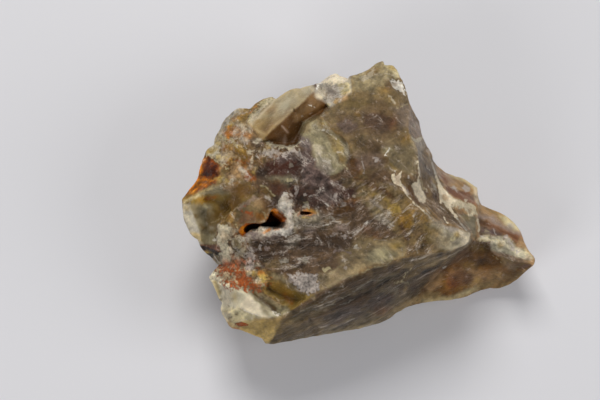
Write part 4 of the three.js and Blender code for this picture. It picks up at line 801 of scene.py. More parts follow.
# The smooth olive hollow at the left, and its white rim
HOLLOW = [
    ("olive", "near", area((-35.6, 1.4), (-33.6, 2), (-30, 3.6), (-26, 4.6), (-22, 4.4), (-20.4, 3),
        (-21.4, 1.6), (-24, 0.4), (-25.6, -1.4), (-26, -4), (-28.4, -5), (-28.6, -8.2), (-32.4, -8),
        (-34, -2))),
    ("grey olive", "soft", area((-33, 2.2), (-28, 3.8), (-23, 4.4), (-23, 3.2), (-28, 2.2), (-32.6, 1.4))),
    ("slate", "soft", area((-28, 4.4), (-22.8, 4.4), (-22.4, 3), (-27, 2.8))),
    ("bronze", "tint", blob(-23.8, 3.9, 0.6, 0.3)),
    ("pale grey", "rough", stroke(0.25, (-27.6, 3.4), (-26.4, 4.1), (-25.4, 4.3))),
    ("ochre", "soft", area((-33, 1.6), (-29, 2), (-28.8, 0.8), (-32.4, 0.2))),
    ("brick", "tint", blob(-30.7, 1.4, 0.45, 0.25), blob(-29.4, 1.6, 0.6, 0.2)),
    ("grey olive", "soft", area((-34, 0.4), (-30, 0.2), (-28.8, -2), (-28.4, -5), (-28.8, -8), (-32.4, -8),
        (-33.4, -4))),
    ("bronze", "wide", area((-28.4, 0.2), (-25.8, 0.8), (-24.6, -0.4), (-26.2, -2), (-28.8, -2.6))),
    ("dark olive", "soft", area((-28, 0.4), (-25.6, 0.8), (-25, -0.8), (-27, -2.2), (-28.4, -2)),
        area((-25.6, 4), (-22.6, 4.3), (-20.8, 3.2), (-21.6, 1.8), (-23.6, 1.5), (-25.8, 2.4))),
    ("dark olive", "tint", blob(-32.9, -2.4, 0.7, 0.5),
        area((-32, -3.8), (-30.4, -4), (-29.6, -3.6), (-29.8, -4.8), (-31.6, -4.8)),
        area((-30.4, -5.2), (-28.6, -4.8), (-28.4, -5.6), (-29.6, -5.9))),
    ("dark slate", "faint", blob(-32.8, -0.4, 0.6, 0.5)),
    ("pale grey", "tint", blob(-29.4, -4.4, 0.5, 0.3)),
    ("pale olive", "tint", area((-31.8, -5.6), (-28.8, -6), (-28.8, -7.8), (-31.8, -7.6))),
    ("white", "thin", blob(-29, -7.1, 0.4, 0.25)),
    ("gold", "soft", area((-29, -3.2), (-26.4, -2.1), (-24.8, -1.2), (-24.6, -2.4), (-25.4, -4),
        (-28, -4.2))),
    ("ochre", "tint", area((-28, -2.9), (-25.6, -2.2), (-25.2, -3.8), (-27.6, -4))),
    ("beige", "thin", stroke(0.2, (-29.6, -3.5), (-26, -2), (-25, -0.8), (-24.2, 0.2))),
    ("ochre", "soft", area((-35.6, 1.2), (-33.4, 2.6), (-33, 1.8), (-34.8, 0.6))),
    ("cream", "tint", stroke(0.3, (-31.4, 0.2), (-30.8, -0.4)), stroke(0.3, (-30, -1), (-29.2, -1.6)),
        stroke(0.5, (-35, 0.6), (-33.4, 1.6), (-32.4, 1.9))),
    ("pale grey", "near", area((-36.6, 0.6), (-34, 0.2), (-33.5, -1.6), (-32.2, -5), (-31.8, -7.2),
        (-33.8, -7.6), (-36.4, -3.4))),
    ("chalk", "faint", area((-35.6, -1), (-34.2, -1), (-33.2, -4.6), (-34.6, -5), (-35.4, -3))),
    ("straw", "tint", area((-33.9, -5.6), (-32.2, -5.6), (-31.8, -7.2), (-33.2, -7.4))),
    ("straw", "faint", blob(-34.6, -0.4, 0.7, 0.6)),
    ("grey olive", "faint", stroke(1.1, (-36.2, 0.4), (-35.6, -3), (-33.8, -6.4))),
    ("dark olive", "tint", area((-27, 2), (-24, 2), (-23.4, 0.6), (-24.6, -1), (-26.4, -2.4), (-27.4, 0))),
    ("bronze", "faint", area((-25.8, 3.6), (-22, 4.2), (-19, 3.6), (-20.6, 2.2), (-23, 1.2), (-25.4, -1.4),
        (-26.4, 0.6))),
    # Painted shade: darker olive where the hollow's V lies in shadow
    ("dark olive", "tint", area((-30.6, -0.6), (-26.6, -1), (-25.8, -2.6), (-26.6, -4.6), (-29, -5),
        (-30.8, -3))),
]

# The black notch at the lower left
NOTCH = [
    ("red brown", "near", area((-32.6, -7.8), (-30, -7.9), (-28.4, -8), (-27.8, -9.6), (-30, -9.2),
        (-32, -9.2))),
    ("grey olive", "near", area((-30, -9.6), (-27.4, -9.8), (-27.2, -12.4), (-29, -12), (-31, -9.8))),
    ("bronze", "tint", blob(-31.4, -9.1, 0.7, 0.3)),
    ("purple brown", "tint", blob(-29, -8.5, 0.8, 0.4)),
    ("black", "crisp", stroke(0.75, (-32.6, -8.2), (-31, -8.6), (-29.8, -9), (-28.6, -9.6), (-27.6, -9.8))),
    ("straw", "thin", area((-31.5, -9.4), (-30.4, -9.1), (-29.6, -9.6), (-30.4, -9.9))),
    ("black", "crisp", area((-31, -9.8), (-30, -9.6), (-28.9, -10), (-29.5, -10.6), (-30.6, -10.4))),
    ("pale olive", "tint", stroke(0.4, (-29.8, -10.6), (-28.4, -12))),
    ("slate", "soft", stroke(0.4, (-28.9, -10.2), (-28, -11.4))),
    ("dark smoke", "thin", blob(-28, -10.5, 0.22, 0.22)),
    ("pale grey", "tint", stroke(0.4, (-27.9, -10.2), (-27.5, -12))),
    ("chalk", "rough", area((-28.4, -4.1), (-26.6, -4.2), (-24.8, -4.6), (-25.2, -6.2), (-26.4, -7.4),
        (-26, -9.6), (-25, -12.4), (-27.4, -12.2), (-27.6, -10), (-28.3, -7.6), (-28.1, -5.6))),
    ("bone", "thin", blob(-27, -4.8, 0.7, 0.35)),
    ("bone", "tint", stroke(0.5, (-27.6, -5), (-26.9, -7), (-27.2, -9.6))),
    ("dark smoke", "thin", stroke(0.2, (-26.2, -9), (-25.4, -9.5))),
    ("slate", "thin", stroke(0.3, (-25.7, -3.7), (-25, -4.8), (-25.5, -6.2))),
]

# The dark cavity, the small slot beside it and the crust around them
CAVITY = [
    ("honey", "near", area((-24.6, -0.6), (-22.6, 1), (-20.4, 2.6), (-19, 1.6), (-17.8, 0.4), (-18.4, -1.6),
        (-19, -3.4), (-22, -3.4), (-24, -4.4), (-25.4, -5), (-25.2, -2.6))),
    ("tan", "tint", area((-20.8, 1.6), (-19.4, 1.8), (-18.4, 0.2), (-19.2, -1), (-21.6, -0.4))),
    ("honey", "tint", area((-22.4, 0.4), (-20, -0.2), (-18.8, -1.8), (-21, -1.6))),
    ("pink tan", "rough", stroke(0.6, (-24.4, -0.8), (-22.4, 0.6), (-21, 1.6))),
    ("brick", "rough", blob(-22.9, -1.35, 0.6, 0.3), blob(-21.8, -1.7, 0.6, 0.35)),
    ("brick", "thin", blob(-22.9, -0.2, 0.25, 0.15)),
    ("red brown", "tint", area((-24.6, -3.8), (-23.6, -1.8), (-21.4, -1.6), (-20.6, -3.2), (-22.4, -3.2))),
    ("amber", "soft", area((-20.8, -1.6), (-19, -1.6), (-18.6, -3), (-19.8, -3.5), (-20.8, -2.6))),
    ("pale olive", "thin", stroke(0.3, (-19.4, -1.4), (-18.9, -2), (-18.7, -2.8))),
    ("bronze", "tint", area((-20.4, 1.8), (-18, 1.4), (-17.6, 0), (-18.4, -1.8), (-20, -1.6), (-19.4, 0.2))),
    ("bronze", "faint", area((-20, 2.2), (-18, 2), (-16.6, 0.4), (-16.8, -0.6), (-18.4, -1.4),
        (-19.6, -0.6))),
    ("dark smoke", "soft", area((-17.8, 2.4), (-16.2, 2.2), (-15.9, 0.4), (-16.8, -0.4), (-17.8, 0.4))),
    ("dark olive", "crisp", area((-20.2, 3.7), (-19, 4), (-17.2, 2), (-17.3, 1), (-18.6, 1.5), (-19.6, 2.6))),
    ("cream", "thin", stroke(0.25, (-25, -3.8), (-24.4, -4.5), (-24.5, -5.2)),
        stroke(0.2, (-20.2, 3.7), (-18.9, 3.9), (-18, 3), (-17.1, 1.9))),
    ("white", "rough", area((-15.9, 1.2), (-15.2, 2.8), (-14.3, 2.6), (-14, 1), (-13.3, -1.2), (-13.1, -4),
        (-13.2, -5.6), (-14.8, -6.3), (-17, -5.9), (-16, -5), (-15, -4.2), (-14.7, -2.6), (-15.9, -1.6),
        (-16.2, 0))),
    ("lilac white", "rough", stroke(0.6, (-14, -0.8), (-13.6, -2.4), (-13.6, -5.2))),
    ("bone", "thin", stroke(0.35, (-15.8, -1.8), (-14.7, -2.3), (-14.5, -3.4)),
        stroke(0.35, (-8.7, -0.8), (-8.5, -2.1))),
    ("beige", "tint", blob(-15.1, -0.5, 0.9, 0.7)),
    ("ash", "tint", blob(-15.2, 1.3, 1.0, 1.3)),
    ("ash", "rough", area((-23, -5.8), (-21.4, -5), (-20.6, -5.4), (-17.4, -5.7), (-15.4, -5.9), (-17, -6.4),
        (-20, -6.6), (-22.8, -7.2))),
    ("bone", "rough", blob(-20.3, -4.9, 0.7, 0.5),
        area((-13.3, -1.2), (-12.6, -1), (-12.2, -2), (-12.4, -3), (-13, -3))),
    ("white", "rough", area((-19.8, -4.8), (-17.8, -4.5), (-15.2, -4.7), (-15.4, -5.6), (-17.4, -5.8),
        (-19.2, -5.8))),
    ("white", "thin", blob(-16.8, -5.4, 0.6, 0.25)),
    ("orange", "crisp", stroke(0.35, (-19.3, -5.6), (-18.8, -5.2), (-18.1, -4.9))),
    ("orange", "thin", blob(-16.8, -4.8, 0.5, 0.18)),
    # Painted shade: the cavity's mouth is painted black, for the shade deep in the hole
    ("black", "crisp", area((-24.3, -5), (-23.6, -4.1), (-22.2, -3.6), (-19.9, -3.8), (-18.6, -3.1),
        (-18, -1.9), (-17.7, -0.9), (-17, -0.7), (-16.4, -1.3), (-15.8, -2), (-14.9, -2.5), (-15, -3.8),
        (-15.6, -4.6), (-17.2, -4.8), (-19.2, -4.6), (-20.2, -4.3), (-20.8, -5.1), (-22.3, -5), (-23.1, -5.8),
        (-23.5, -6.3), (-24.1, -5.8))),
    ("rust", "stained", area((-24.2, -5), (-23.5, -4.1), (-22.6, -4), (-22.9, -4.8), (-23.1, -5.7),
        (-23.5, -6.2), (-24.1, -5.6))),
    ("orange", "rough", stroke(0.4, (-24, -5.4), (-23.6, -4.4), (-22.8, -4.1))),
    ("rust", "stained", stroke(0.5, (-22.8, -3.9), (-21.6, -3.75), (-20.2, -3.9)),
        area((-18.9, -3.3), (-18, -2), (-17.7, -1), (-17, -0.8), (-16.4, -1.4), (-15.7, -2.1), (-15, -2.6),
        (-15.2, -3.2), (-17, -3)), stroke(0.6, (-18, -2), (-17.6, -1.1), (-17, -0.9), (-16.4, -1.5),
        (-15.6, -2.3), (-15.1, -2.7))),
    ("orange", "rough", stroke(0.35, (-18.2, -2.2), (-17.7, -1.1), (-17, -0.8), (-16.2, -1.6))),
    ("dark rust", "rough", blob(-15.8, -2.1, 0.7, 0.4, -35)),
    ("pale grey", "rough", blob(-12.3, -3.4, 0.4, 0.7)),
    ("orange", "tint", area((-11.8, -1.4), (-10.8, -0.9), (-9.6, -1), (-8.7, -1.6), (-9.6, -2.1),
        (-11.4, -2.2))),
    ("yellow", "tint", stroke(0.35, (-10.6, -1), (-9.4, -1.2), (-8.7, -1.6))),
    ("rust", "thin", blob(-12.1, -1.7, 0.35, 0.4)),
    ("straw", "thin", blob(-11, -2.5, 0.8, 0.25)),
]

# The red dust on the lower left crust
RED_DUST = [
    ("grey olive", "near", area((-25.4, -6.8), (-24, -6.2), (-23, -7.2), (-22.9, -9.6), (-23.6, -10.2),
        (-25, -9), (-25.6, -7.6))),
    ("dark slate", "tint", blob(-24.6, -7.7, 0.5, 0.5)),
    ("chalk", "thin", stroke(0.35, (-25.6, -7), (-24.3, -6.2), (-23.2, -7.1), (-22.8, -9.2), (-23.2, -10.3),
        (-25, -9.4))),
    ("lilac white", "rough", area((-23.2, -9.6), (-21.6, -9.2), (-20.4, -10.8), (-21.4, -11.4),
        (-22.6, -11.4))),
    ("pale grey", "rough", area((-25.4, -10.8), (-23.8, -10.6), (-23.2, -11.6), (-24.8, -11.9))),
    ("chalk", "near", area((-30.8, -14.4), (-28.8, -12.6), (-25, -12.2), (-20, -12), (-19, -16), (-24, -17),
        (-28, -16))),
    ("tan", "tint", area((-28.6, -13), (-26, -12), (-22.4, -12.4), (-18.4, -14.6), (-20.4, -16.8),
        (-24, -16.8), (-27.4, -15.8))),
    ("brick", "rough", area((-25.5, -9.9), (-24.3, -10.5), (-24.4, -10.9), (-25.3, -10.9)),
        blob(-25.3, -11.7, 0.6, 0.25), blob(-27, -12.4, 0.6, 0.35),
        stroke(0.45, (-27.4, -12.8), (-25.2, -13), (-23.8, -13.4), (-23.6, -15), (-21.6, -15.8)),
        stroke(0.5, (-26.8, -13.3), (-25.2, -13.6), (-24.6, -14.6), (-23.4, -15.8), (-22.8, -16.8)),
        stroke(0.4, (-27.2, -15.3), (-25.6, -15.9), (-24, -15.9), (-21, -15.9))),
    ("dark smoke", "thin", blob(-24.9, -10.6, 0.2, 0.2)),
    ("brick", "thin", stroke(0.3, (-23.7, -10.6), (-22.8, -11.5)),
        stroke(0.2, (-21.4, -11.6), (-20.7, -11.1)), stroke(0.25, (-27.2, -16.5), (-26, -16.6)),
        blob(-27.2, -16.1, 0.2, 0.2), stroke(0.25, (-28.5, -14.2), (-27.8, -14))),
    ("brick", "dusty", area((-28.4, -12.9), (-27.4, -12), (-26, -12.6), (-24.4, -11.9), (-22.8, -12.6),
        (-22.2, -13.7), (-21.8, -14.6), (-20.4, -15.2), (-18.4, -14.8), (-18.8, -15.8), (-20.4, -16.7),
        (-22.4, -16.8), (-23.8, -16.5), (-25.6, -16.3), (-27, -15.5), (-25, -15.3), (-24.2, -15),
        (-24.6, -14.1), (-26.8, -13.9))),
    ("bronze", "thin", blob(-28.8, -13.2, 0.45, 0.25, 35), blob(-23.4, -12.1, 0.5, 0.32)),
    ("grey olive", "thin", blob(-23.4, -12.1, 0.25, 0.15)),
    ("lilac white", "rough", blob(-22, -12.2, 0.8, 0.7)),
    ("tan", "rough", area((-22.2, -13), (-20, -12.9), (-19.4, -14), (-20.6, -14.6), (-21.8, -14.1))),
    ("straw", "rough", blob(-21.4, -13.5, 0.7, 0.45)),
    ("gold", "crumbly", area((-20.8, -12.8), (-19, -12.8), (-18.4, -15), (-20.4, -15.4))),
    ("orange", "thin", blob(-19.6, -13.8, 0.8, 0.5, -40)),
    ("straw", "crumbly", blob(-19.6, -14.7, 0.5, 0.5)),
    ("bronze", "thin", blob(-20.5, -12.5, 0.65, 0.45, -15)),
    ("brick", "thin", blob(-20.5, -12.6, 0.3, 0.2)),
    ("bone", "thin", blob(-22.1, -13.6, 0.35, 0.6, -20), blob(-20.5, -11.8, 0.5, 0.25)),
    ("bone", "rough", blob(-20.6, -14.9, 0.5, 0.3)),
    ("dark rust", "thin", blob(-18.7, -13, 0.25, 0.25)),
    ("amber", "faint", area((-24.6, -12.6), (-20.6, -12.6), (-18.6, -14.6), (-21, -16.6), (-24.4, -16))),
]

# The waxy block at the lower left
LOWER_LEFT = [
    ("chalk", "near", area((-31, -14.6), (-29, -13.8), (-27.6, -15.4), (-24.6, -16.6), (-22, -16.8),
        (-21, -18), (-17.6, -21), (-16, -22.4), (-18, -22.6), (-22, -22.8), (-23.6, -24.6), (-27.4, -25.4),
        (-29, -21), (-29.4, -18))),
    ("bone", "faint", blob(-28.8, -14.6, 1.2, 0.7, -30)),
    ("straw", "tint", stroke(0.9, (-28.8, -15.4), (-28.2, -17.2), (-28.4, -18.6))),
    ("bone", "tint", area((-27.6, -16.4), (-25.6, -17), (-25.6, -20), (-27, -20.6), (-27.6, -18.4))),
    ("straw", "faint", blob(-25, -18.4, 0.7, 1.1)),
    ("beige", "faint", area((-28.6, -20.6), (-25.4, -21), (-25.4, -24), (-27.4, -24.4))),
    ("beige", "tint", stroke(0.5, (-24, -20.9), (-22.4, -21.7), (-20, -22.4), (-18, -22.6))),
    ("bone", "fine", area((-24, -20.3), (-23, -18.6), (-22, -17.9), (-20.8, -19.3), (-18.3, -22.2),
        (-19.8, -22.3), (-22, -21.6))),
    ("white", "thin", stroke(0.25, (-24, -20.5), (-22.4, -21.5), (-20.4, -22.1)),
        blob(-17.6, -21.2, 0.2, 0.15)),
    ("grey olive", "soft", stroke(1.0, (-22, -17.3), (-20.4, -19), (-18.2, -21.6))),
    ("dark olive", "fine", stroke(0.5, (-21.2, -17.6), (-19.4, -18.8), (-17.4, -20.3), (-16.4, -21.4))),
    ("beige", "near", stroke(0.9, (-20.6, -17.1), (-18.6, -18.9), (-16.8, -20), (-15.6, -21.2))),
    ("olive", "near", stroke(1.0, (-19.2, -16.8), (-17.4, -18), (-15.4, -19.6), (-14.4, -20.6))),
    ("olive", "tint", area((-20, -15.8), (-18.2, -15.8), (-17.6, -16.8), (-19.4, -17.2))),
    ("pale olive", "soft", area((-16.6, -20.4), (-15, -20), (-13.6, -21.6), (-15.4, -22.6), (-17.2, -22.4))),
    ("olive", "near", area((-18.8, -15.1), (-17, -14.9), (-15, -15.7), (-12.4, -17.5), (-9.3, -18.1),
        (-12, -20), (-13.6, -21.1), (-16.4, -18.6))),
    ("ochre", "tint", area((-18.4, -15.2), (-16, -15.6), (-13.4, -17.6), (-13.6, -18.6), (-15.4, -18),
        (-17.4, -17))),
    ("rust", "faint", stroke(0.7, (-15.4, -18), (-14.4, -18.8), (-13.4, -19.6))),
    ("olive", "tint", area((-13, -18.2), (-10, -18.3), (-12, -19.8), (-13.4, -20.4))),
    ("white", "rough", blob(-16.6, -21.8, 0.6, 0.3, -20)),
    ("gold", "soft", area((-26.4, -22.8), (-22, -22.6), (-18, -22.8), (-14, -22), (-12.2, -23.6),
        (-13.4, -28), (-18, -29), (-20, -27.6), (-27.4, -25.6))),
    ("cream", "soft", area((-26.6, -21), (-24.6, -20.8), (-21, -22.4), (-22, -23.2), (-25.4, -24))),
    ("straw", "faint", area((-25, -23), (-21, -23), (-16, -23), (-14.4, -26), (-17, -28), (-22, -27))),
    ("bone", "thin", stroke(0.3, (-24.6, -23.3), (-23.2, -22.9), (-21.6, -22.6))),
    ("olive", "faint", area((-21.6, -24), (-19, -23.2), (-17.8, -25), (-20.4, -25.6))),
    ("smoke", "faint", area((-16.6, -23), (-13.6, -22.8), (-13.4, -24.8), (-15.8, -24.6))),
    ("beige", "tint", stroke(0.6, (-19.6, -27.4), (-16, -28), (-13, -27.6))),
    ("dark rust", "crisp", blob(-23.6, -23.85, 1.35, 0.45)),
    ("rust", "crisp", blob(-23.5, -23.8, 1.0, 0.28)),
    ("brick", "thin", stroke(0.2, (-25.6, -24.6), (-24.2, -24.8))),
    ("dark smoke", "faint", blob(-16.8, -23.6, 0.6, 0.35, 20)),
    ("dark olive", "thin", blob(-27.8, -18.9, 0.3, 0.28), blob(-26.3, -20.3, 0.25, 0.2),
        blob(-24.8, -21.8, 0.25, 0.18, 30)),
    ("dark smoke", "thin", stroke(0.25, (-26.4, -22.8), (-25.9, -22.4))),
]

# The crystal wedge at the top, with its pale and dark planes
WEDGE = [
    ("beige", "near", area((-9, 22.9), (-9.4, 24.8), (-12, 24.6), (-14, 24), (-16.8, 21.6), (-22.2, 16.2),
        (-20.8, 14.8), (-19, 13.8))),
    ("gold", "soft", area((-22, 16), (-20.6, 14.8), (-19, 13.9), (-16.8, 15.8), (-17.6, 17.2),
        (-20.6, 17.2))),
    ("tan", "faint", area((-19.6, 19), (-18.4, 18.2), (-16.6, 18.6), (-16.6, 19.8), (-18.2, 20.2))),
    ("chalk", "wide", blob(-14.6, 20.4, 1.6, 0.9, 45)),
    ("chalk", "faint", area((-9.4, 23), (-9.6, 24.6), (-12, 24), (-12, 22.4), (-11, 21.6))),
    ("bone", "tint", stroke(0.25, (-16.8, 21.2), (-19.4, 18.6), (-21.8, 16.2))),
    ("bronze", "near", area((-9, 22.5), (-19, 13.7), (-18.4, 12.5), (-16, 12.1), (-13.2, 11.9), (-12, 14.4),
        (-11.4, 16.8), (-8, 18.4), (-6.2, 20))),
    ("amber", "tint", area((-12.6, 18.4), (-11, 18.6), (-7.4, 20), (-6.6, 19.6), (-8, 18.4), (-11.4, 16.8))),
    ("pink tan", "fine", stroke(0.3, (-15.7, 15.8), (-14.9, 14.9), (-14.4, 14.5))),
    ("pink tan", "tint", blob(-15.1, 13, 0.35, 0.8)),
    ("white", "crisp", stroke(0.22, (-10.2, 20), (-9.7, 19.8), (-9.2, 19.5))),
    ("pale grey", "thin", blob(-11.5, 17.9, 0.25, 0.25)),
    ("bronze", "faint", area((-20.4, 15.4), (-19, 14.2), (-13.4, 18.8), (-14.4, 19.4), (-17.6, 17))),
    ("tan", "faint", area((-13.4, 18.2), (-9.4, 21.8), (-8, 20.6), (-8, 19.2), (-11.4, 17.4), (-13, 17))),
]

# The white quartz in the recess at the top
QUARTZ = [
    ("pale grey", "near", area((-9.2, 22.7), (-8, 24.6), (-4.6, 27), (-2, 26.4), (-1.6, 22.6), (-4, 20.8),
        (-6, 19.4), (-7.4, 21))),
    ("bone", "rough", area((-6.6, 26.2), (-4, 26.4), (-2.2, 25.6), (-2, 24.4), (-6, 24), (-8, 24.4))),
    ("ash", "faint", area((-6.8, 23.4), (-4.6, 23.6), (-4.2, 21.6), (-6, 21))),
    ("smoke", "thin", stroke(0.25, (-6.6, 22.3), (-6.7, 21.2))),
    ("cream", "near", area((-4.4, 24.4), (-2, 24.4), (-1.8, 22.8), (-3.6, 21.8))),
    ("tan", "tint", area((-3.8, 22), (-2.2, 22.2), (-2.4, 21), (-3.8, 20.8))),
    ("ochre", "rough", blob(-4.6, 20.8, 0.8, 0.5, 20)),
    ("yellow", "tint", blob(-2.6, 22.5, 0.7, 0.3, 30)),
    ("cream", "rough", blob(-6.3, 19.9, 0.45, 0.45)),
    ("white", "rough", stroke(0.4, (-8.8, 23.2), (-8, 24.4))),
    ("bone", "soft", blob(-7.6, 22, 1.1, 0.9)),
]

# What is painted over what, each with how light it is painted. These factors are painted light and shade:
# they make each region lighter or darker for how the light falls on it, such as the lower facet darker and
# the wedge and quartz lighter, and part of the translucent stone's glow is painted in them too.
PAINT = [
    (NOSE_AND_FAN, 0.85),
    (UPPER_RIGHT, 0.91),
    (PALE_PATCH, 0.92),
    (MIDDLE, 0.78),
    (LEFT_CRUST, 0.95),
    (HOLLOW, 1.3),
    (NOTCH, 1.1),
    (RED_DUST, 0.95),
    (LOWER_LEFT, 1.15),
    (CAVITY, 0.85),
    (LOWER_FACET, 0.73),
    (FAR_LOBE, 1.15),
    (AMBER_LOBE, 0.93),
    (RIGHT_FACET, 1.05),
    (TONGUES, 1.15),
    (WEDGE, 1.2),
    (QUARTZ, 1.42),
]

# The textures, laid over the plain break
FEEL = [
    ("fibrous", "soft", area((-22.6, -5.6), (-13, -2.6), (0, -1), (3, -4), (0, -8), (-6, -12), (-12, -13.6),
        (-20, -13))),
    ("speckled", "soft", area((-18, 10), (-12, 11), (-6, 6), (-0.6, 6), (0, -1), (-13.6, -1.2), (-16, 3),
        (-19, 6))),
    ("break", "soft", area((-9, -5), (0, -5), (1, -7.4), (-2, -9.6), (-9, -9.4))),
    ("fanned", "soft", area((-4, 5.6), (4, 5), (9, 2), (14, -3), (22, -6), (20, -8.8), (9, -10.6), (0, -13.6),
        (-9, -18), (-9, -13), (-2, -8), (-1, 0))),
    ("clouded", "soft", area((14.2, -3.6), (18, -4.1), (22.6, -5.6), (21.6, -8.6), (16, -8.8), (13.8, -7)),
        area((-8.4, -13), (-4, -9.6), (0, -7.2), (8, -7.2), (9.2, -10.4), (0, -13.6), (-8, -17.4))),
    ("hazy", "near", area((-2, 27), (5, 29), (10, 20), (11.6, 6), (4, 5.4), (0, 5.6), (-2, 10), (-7, 16.6),
        (-4, 21))),
    ("plumed", "soft", area((-12, 17), (-6, 19.6), (-2, 11), (-4, 6), (-9, 8))),
    ("crusted", "near", area((-35, 3), (-30, 15), (-25, 21), (-16.6, 21.6), (-22, 16.2), (-18, 12), (-12, 12),
        (-12, 10.6), (-18, 9), (-21, 4.6), (-30, 3.6))),
    ("rusty", "soft", area((-35.4, 1.6), (-31, 11), (-28, 8.4), (-27.4, 5), (-30, 3.4))),
    ("glassy", "near", area((-34, 1.6), (-22, 4), (-21, 2), (-25, -1), (-28.4, -4.4), (-28.8, -8),
        (-33, -7.6))),
    ("waxy", "near", area((-37, 1), (-34, 0), (-32, -7), (-37, -7))),
    ("crusted", "near", area((-28.6, -4), (-24.6, -0.6), (-20, 3), (-17, 1), (-13.4, 3), (-12.8, -5.6),
        (-22, -7), (-19.4, -12), (-18, -16.4), (-30, -16), (-29, -9))),
    ("waxy", "soft", area((-18.8, 8.2), (-12.6, 8.4), (-12.2, 5.8), (-14, 5.2), (-18.6, 5.6)),
        area((-18, 4.6), (-14.6, 4.2), (-14.4, 2.6), (-16, 1.8), (-16.4, 0.2), (-17.8, 0.4), (-18, 2.4))),
    ("rusty", "near", area((-31, -14.6), (-28, -12), (-24, -11.6), (-19, -12.6), (-18.6, -15.4), (-24, -16.8),
        (-28, -16))),
    ("waxy", "near", area((-31, -15), (-24, -17), (-16, -22), (-12, -24), (-18, -29), (-28, -26))),
    ("glassy", "near", area((-27, -16.6), (-21, -17.4), (-17, -22.2), (-22, -22), (-26, -20))),
    ("waxy", "near", area((-25.4, -4.4), (-24.4, -0.6), (-20.4, 2.6), (-17.6, 0.4), (-18.6, -2.6),
        (-20, -3.6), (-23.4, -3.6))),
    ("glassy", "near", area((-24.6, -5.8), (-23.6, -3.8), (-19, -3.4), (-17.6, -0.6), (-14.6, -2.4),
        (-15.6, -4.6), (-20, -4.4), (-23.4, -6.4)),
        area((-19.6, -15.3), (-9.3, -18.1), (-13.6, -21.1), (-16.4, -18.8))),
    ("speckled", "near", area((-15, -14), (-8.4, -13.6), (-8, -17.4), (-11, -18))),
    ("streaked", "near", area((22, -7.2), (5.5, -12), (-10, -19.6), (-15, -22.4), (-19, -29), (5, -25),
        (12, -20), (19.4, -10.2))),
    ("waxy", "near", area((19.4, -10.1), (26, -7.2), (35, -11.9), (36, -14), (27, -19), (9, -22),
        (12, -17.5))),
    ("banded", "near", area((14, 9), (25, 5), (36, -8), (36, -11.6), (26, -7.4), (22.2, -5.2), (18.4, 1))),
    ("chalky", "near", area((22.8, -7.2), (24, -6), (30, -6.2), (35, -10.6), (31, -11.6), (26, -9.4)),
        area((18.6, 1), (23.4, 0), (23.6, -3), (19, -2))),
    ("scaly", "near", area((10, 20.6), (15, 10), (18.2, 1), (22.4, -5.4), (16, -3.9), (6.4, 4.6), (9.6, 5.6),
        (11.8, 8), (9.6, 15))),
    ("glassy", "near", area((-9, 23), (-9.4, 24.8), (-16.8, 21.6), (-22.2, 16.2), (-19, 12), (-13.2, 11.8),
        (-6.2, 20))),
    ("crystals", "near", area((-9.2, 22.8), (-4.6, 27), (-1.6, 26), (-4, 20.6), (-6, 19.4))),
]


# The sides and the back


class Cloud(NamedTuple):
    """Where a mineral lies on the sides, in clouds."""

    size: float
    seed: int
    start: float  # the noise's value where the mineral starts
    full: float  # the value where it covers
    layers: int = 3
    lean: float = 0.0  # how much rarer it gets towards the far lobe, per millimetre

    def at(self, points, bent):
        """How much of it lies at each point, from 0 to 1."""
        value = layered(bent, self.size, self.seed, self.layers) - self.lean * points[:, 0]
        return smoothstep(self.start, self.full, value)


HIDDEN_BASE = "smoke"
HIDDEN_CLOUDS = [
    ("honey", Cloud(size=9, seed=51, start=-0.2, full=0.5)),
    ("dark smoke", Cloud(size=6, seed=57, start=0.1, full=0.6)),
]

# The far lobe's banding on the sides
LOBE_COLOURS = ("tan", "red brown")
LOBE_START = 16.0  # along x
LOBE_FADE = 3.0
BAND_DIRECTION = np.array([0.25, 0.2, 1.0])
BANDS_PER_MM = 1.3 / math.tau
BAND_WAVE = 1.5

# The crust and the stains on the sides lie where bent noise is high
SIDE_BEND = 3.0
SIDE_BEND_SIZE = 5
SIDE_BEND_SEEDS = (65, 67, 69)
CRUST_COLOURS = ("chalk", "honey")
CRUST_CLOUD = Cloud(size=6, seed=71, start=0.06, full=0.46, layers=4, lean=0.012)
WARM_CLOUD = Cloud(size=2.6, seed=75, start=-0.3, full=0.3, layers=4)
SIDE_CRUST = 0.8
STAIN_COLOUR = "rust"
STAIN_CLOUD = Cloud(size=3.6, seed=81, start=0.1, full=0.6, layers=4, lean=0.008)
SIDE_STAIN = 0.55


# The fine mesh


def merged(mesh):
    """A mesh's points in millimetres and its triangles, with points at one place joined."""
    points = np.zeros(len(mesh.vertices) * 3, np.float32)
    mesh.vertices.foreach_get("co", points)
    points = points.reshape(-1, 3).astype(float) / MM
    mesh.calc_loop_triangles()
    faces = np.zeros(len(mesh.loop_triangles) * 3, np.int32)
    mesh.loop_triangles.foreach_get("vertices", faces)
    _, first, index = np.unique(np.round(points, 3), axis=0, return_index=True, return_inverse=True)
    faces = index.reshape(-1)[faces.reshape(-1, 3)]
    whole = (faces != np.roll(faces, 1, axis=1)).all(axis=1)
    return points[first], faces[whole]


def edges_of(faces):
    """Every edge once, as two point numbers, and the numbers of each triangle's three edges."""
    pairs = np.sort(np.stack([faces, np.roll(faces, -1, axis=1)], axis=2), axis=2)
    keys = pairs[..., 0].astype(np.int64) * (faces.max() + 1) + pairs[..., 1]
    unique, index = np.unique(keys, return_inverse=True)
    edges = np.stack([unique // (faces.max() + 1), unique % (faces.max() + 1)], axis=1)
    return edges, index.reshape(-1, 3)


def face_normals(points, faces):
    """Unit normals of the triangles."""
    a, b, c = (points[faces[:, corner]] for corner in range(3))
    normals = np.cross(b - a, c - a)
    return normals / np.maximum(np.linalg.norm(normals, axis=1, keepdims=True), 1e-12)


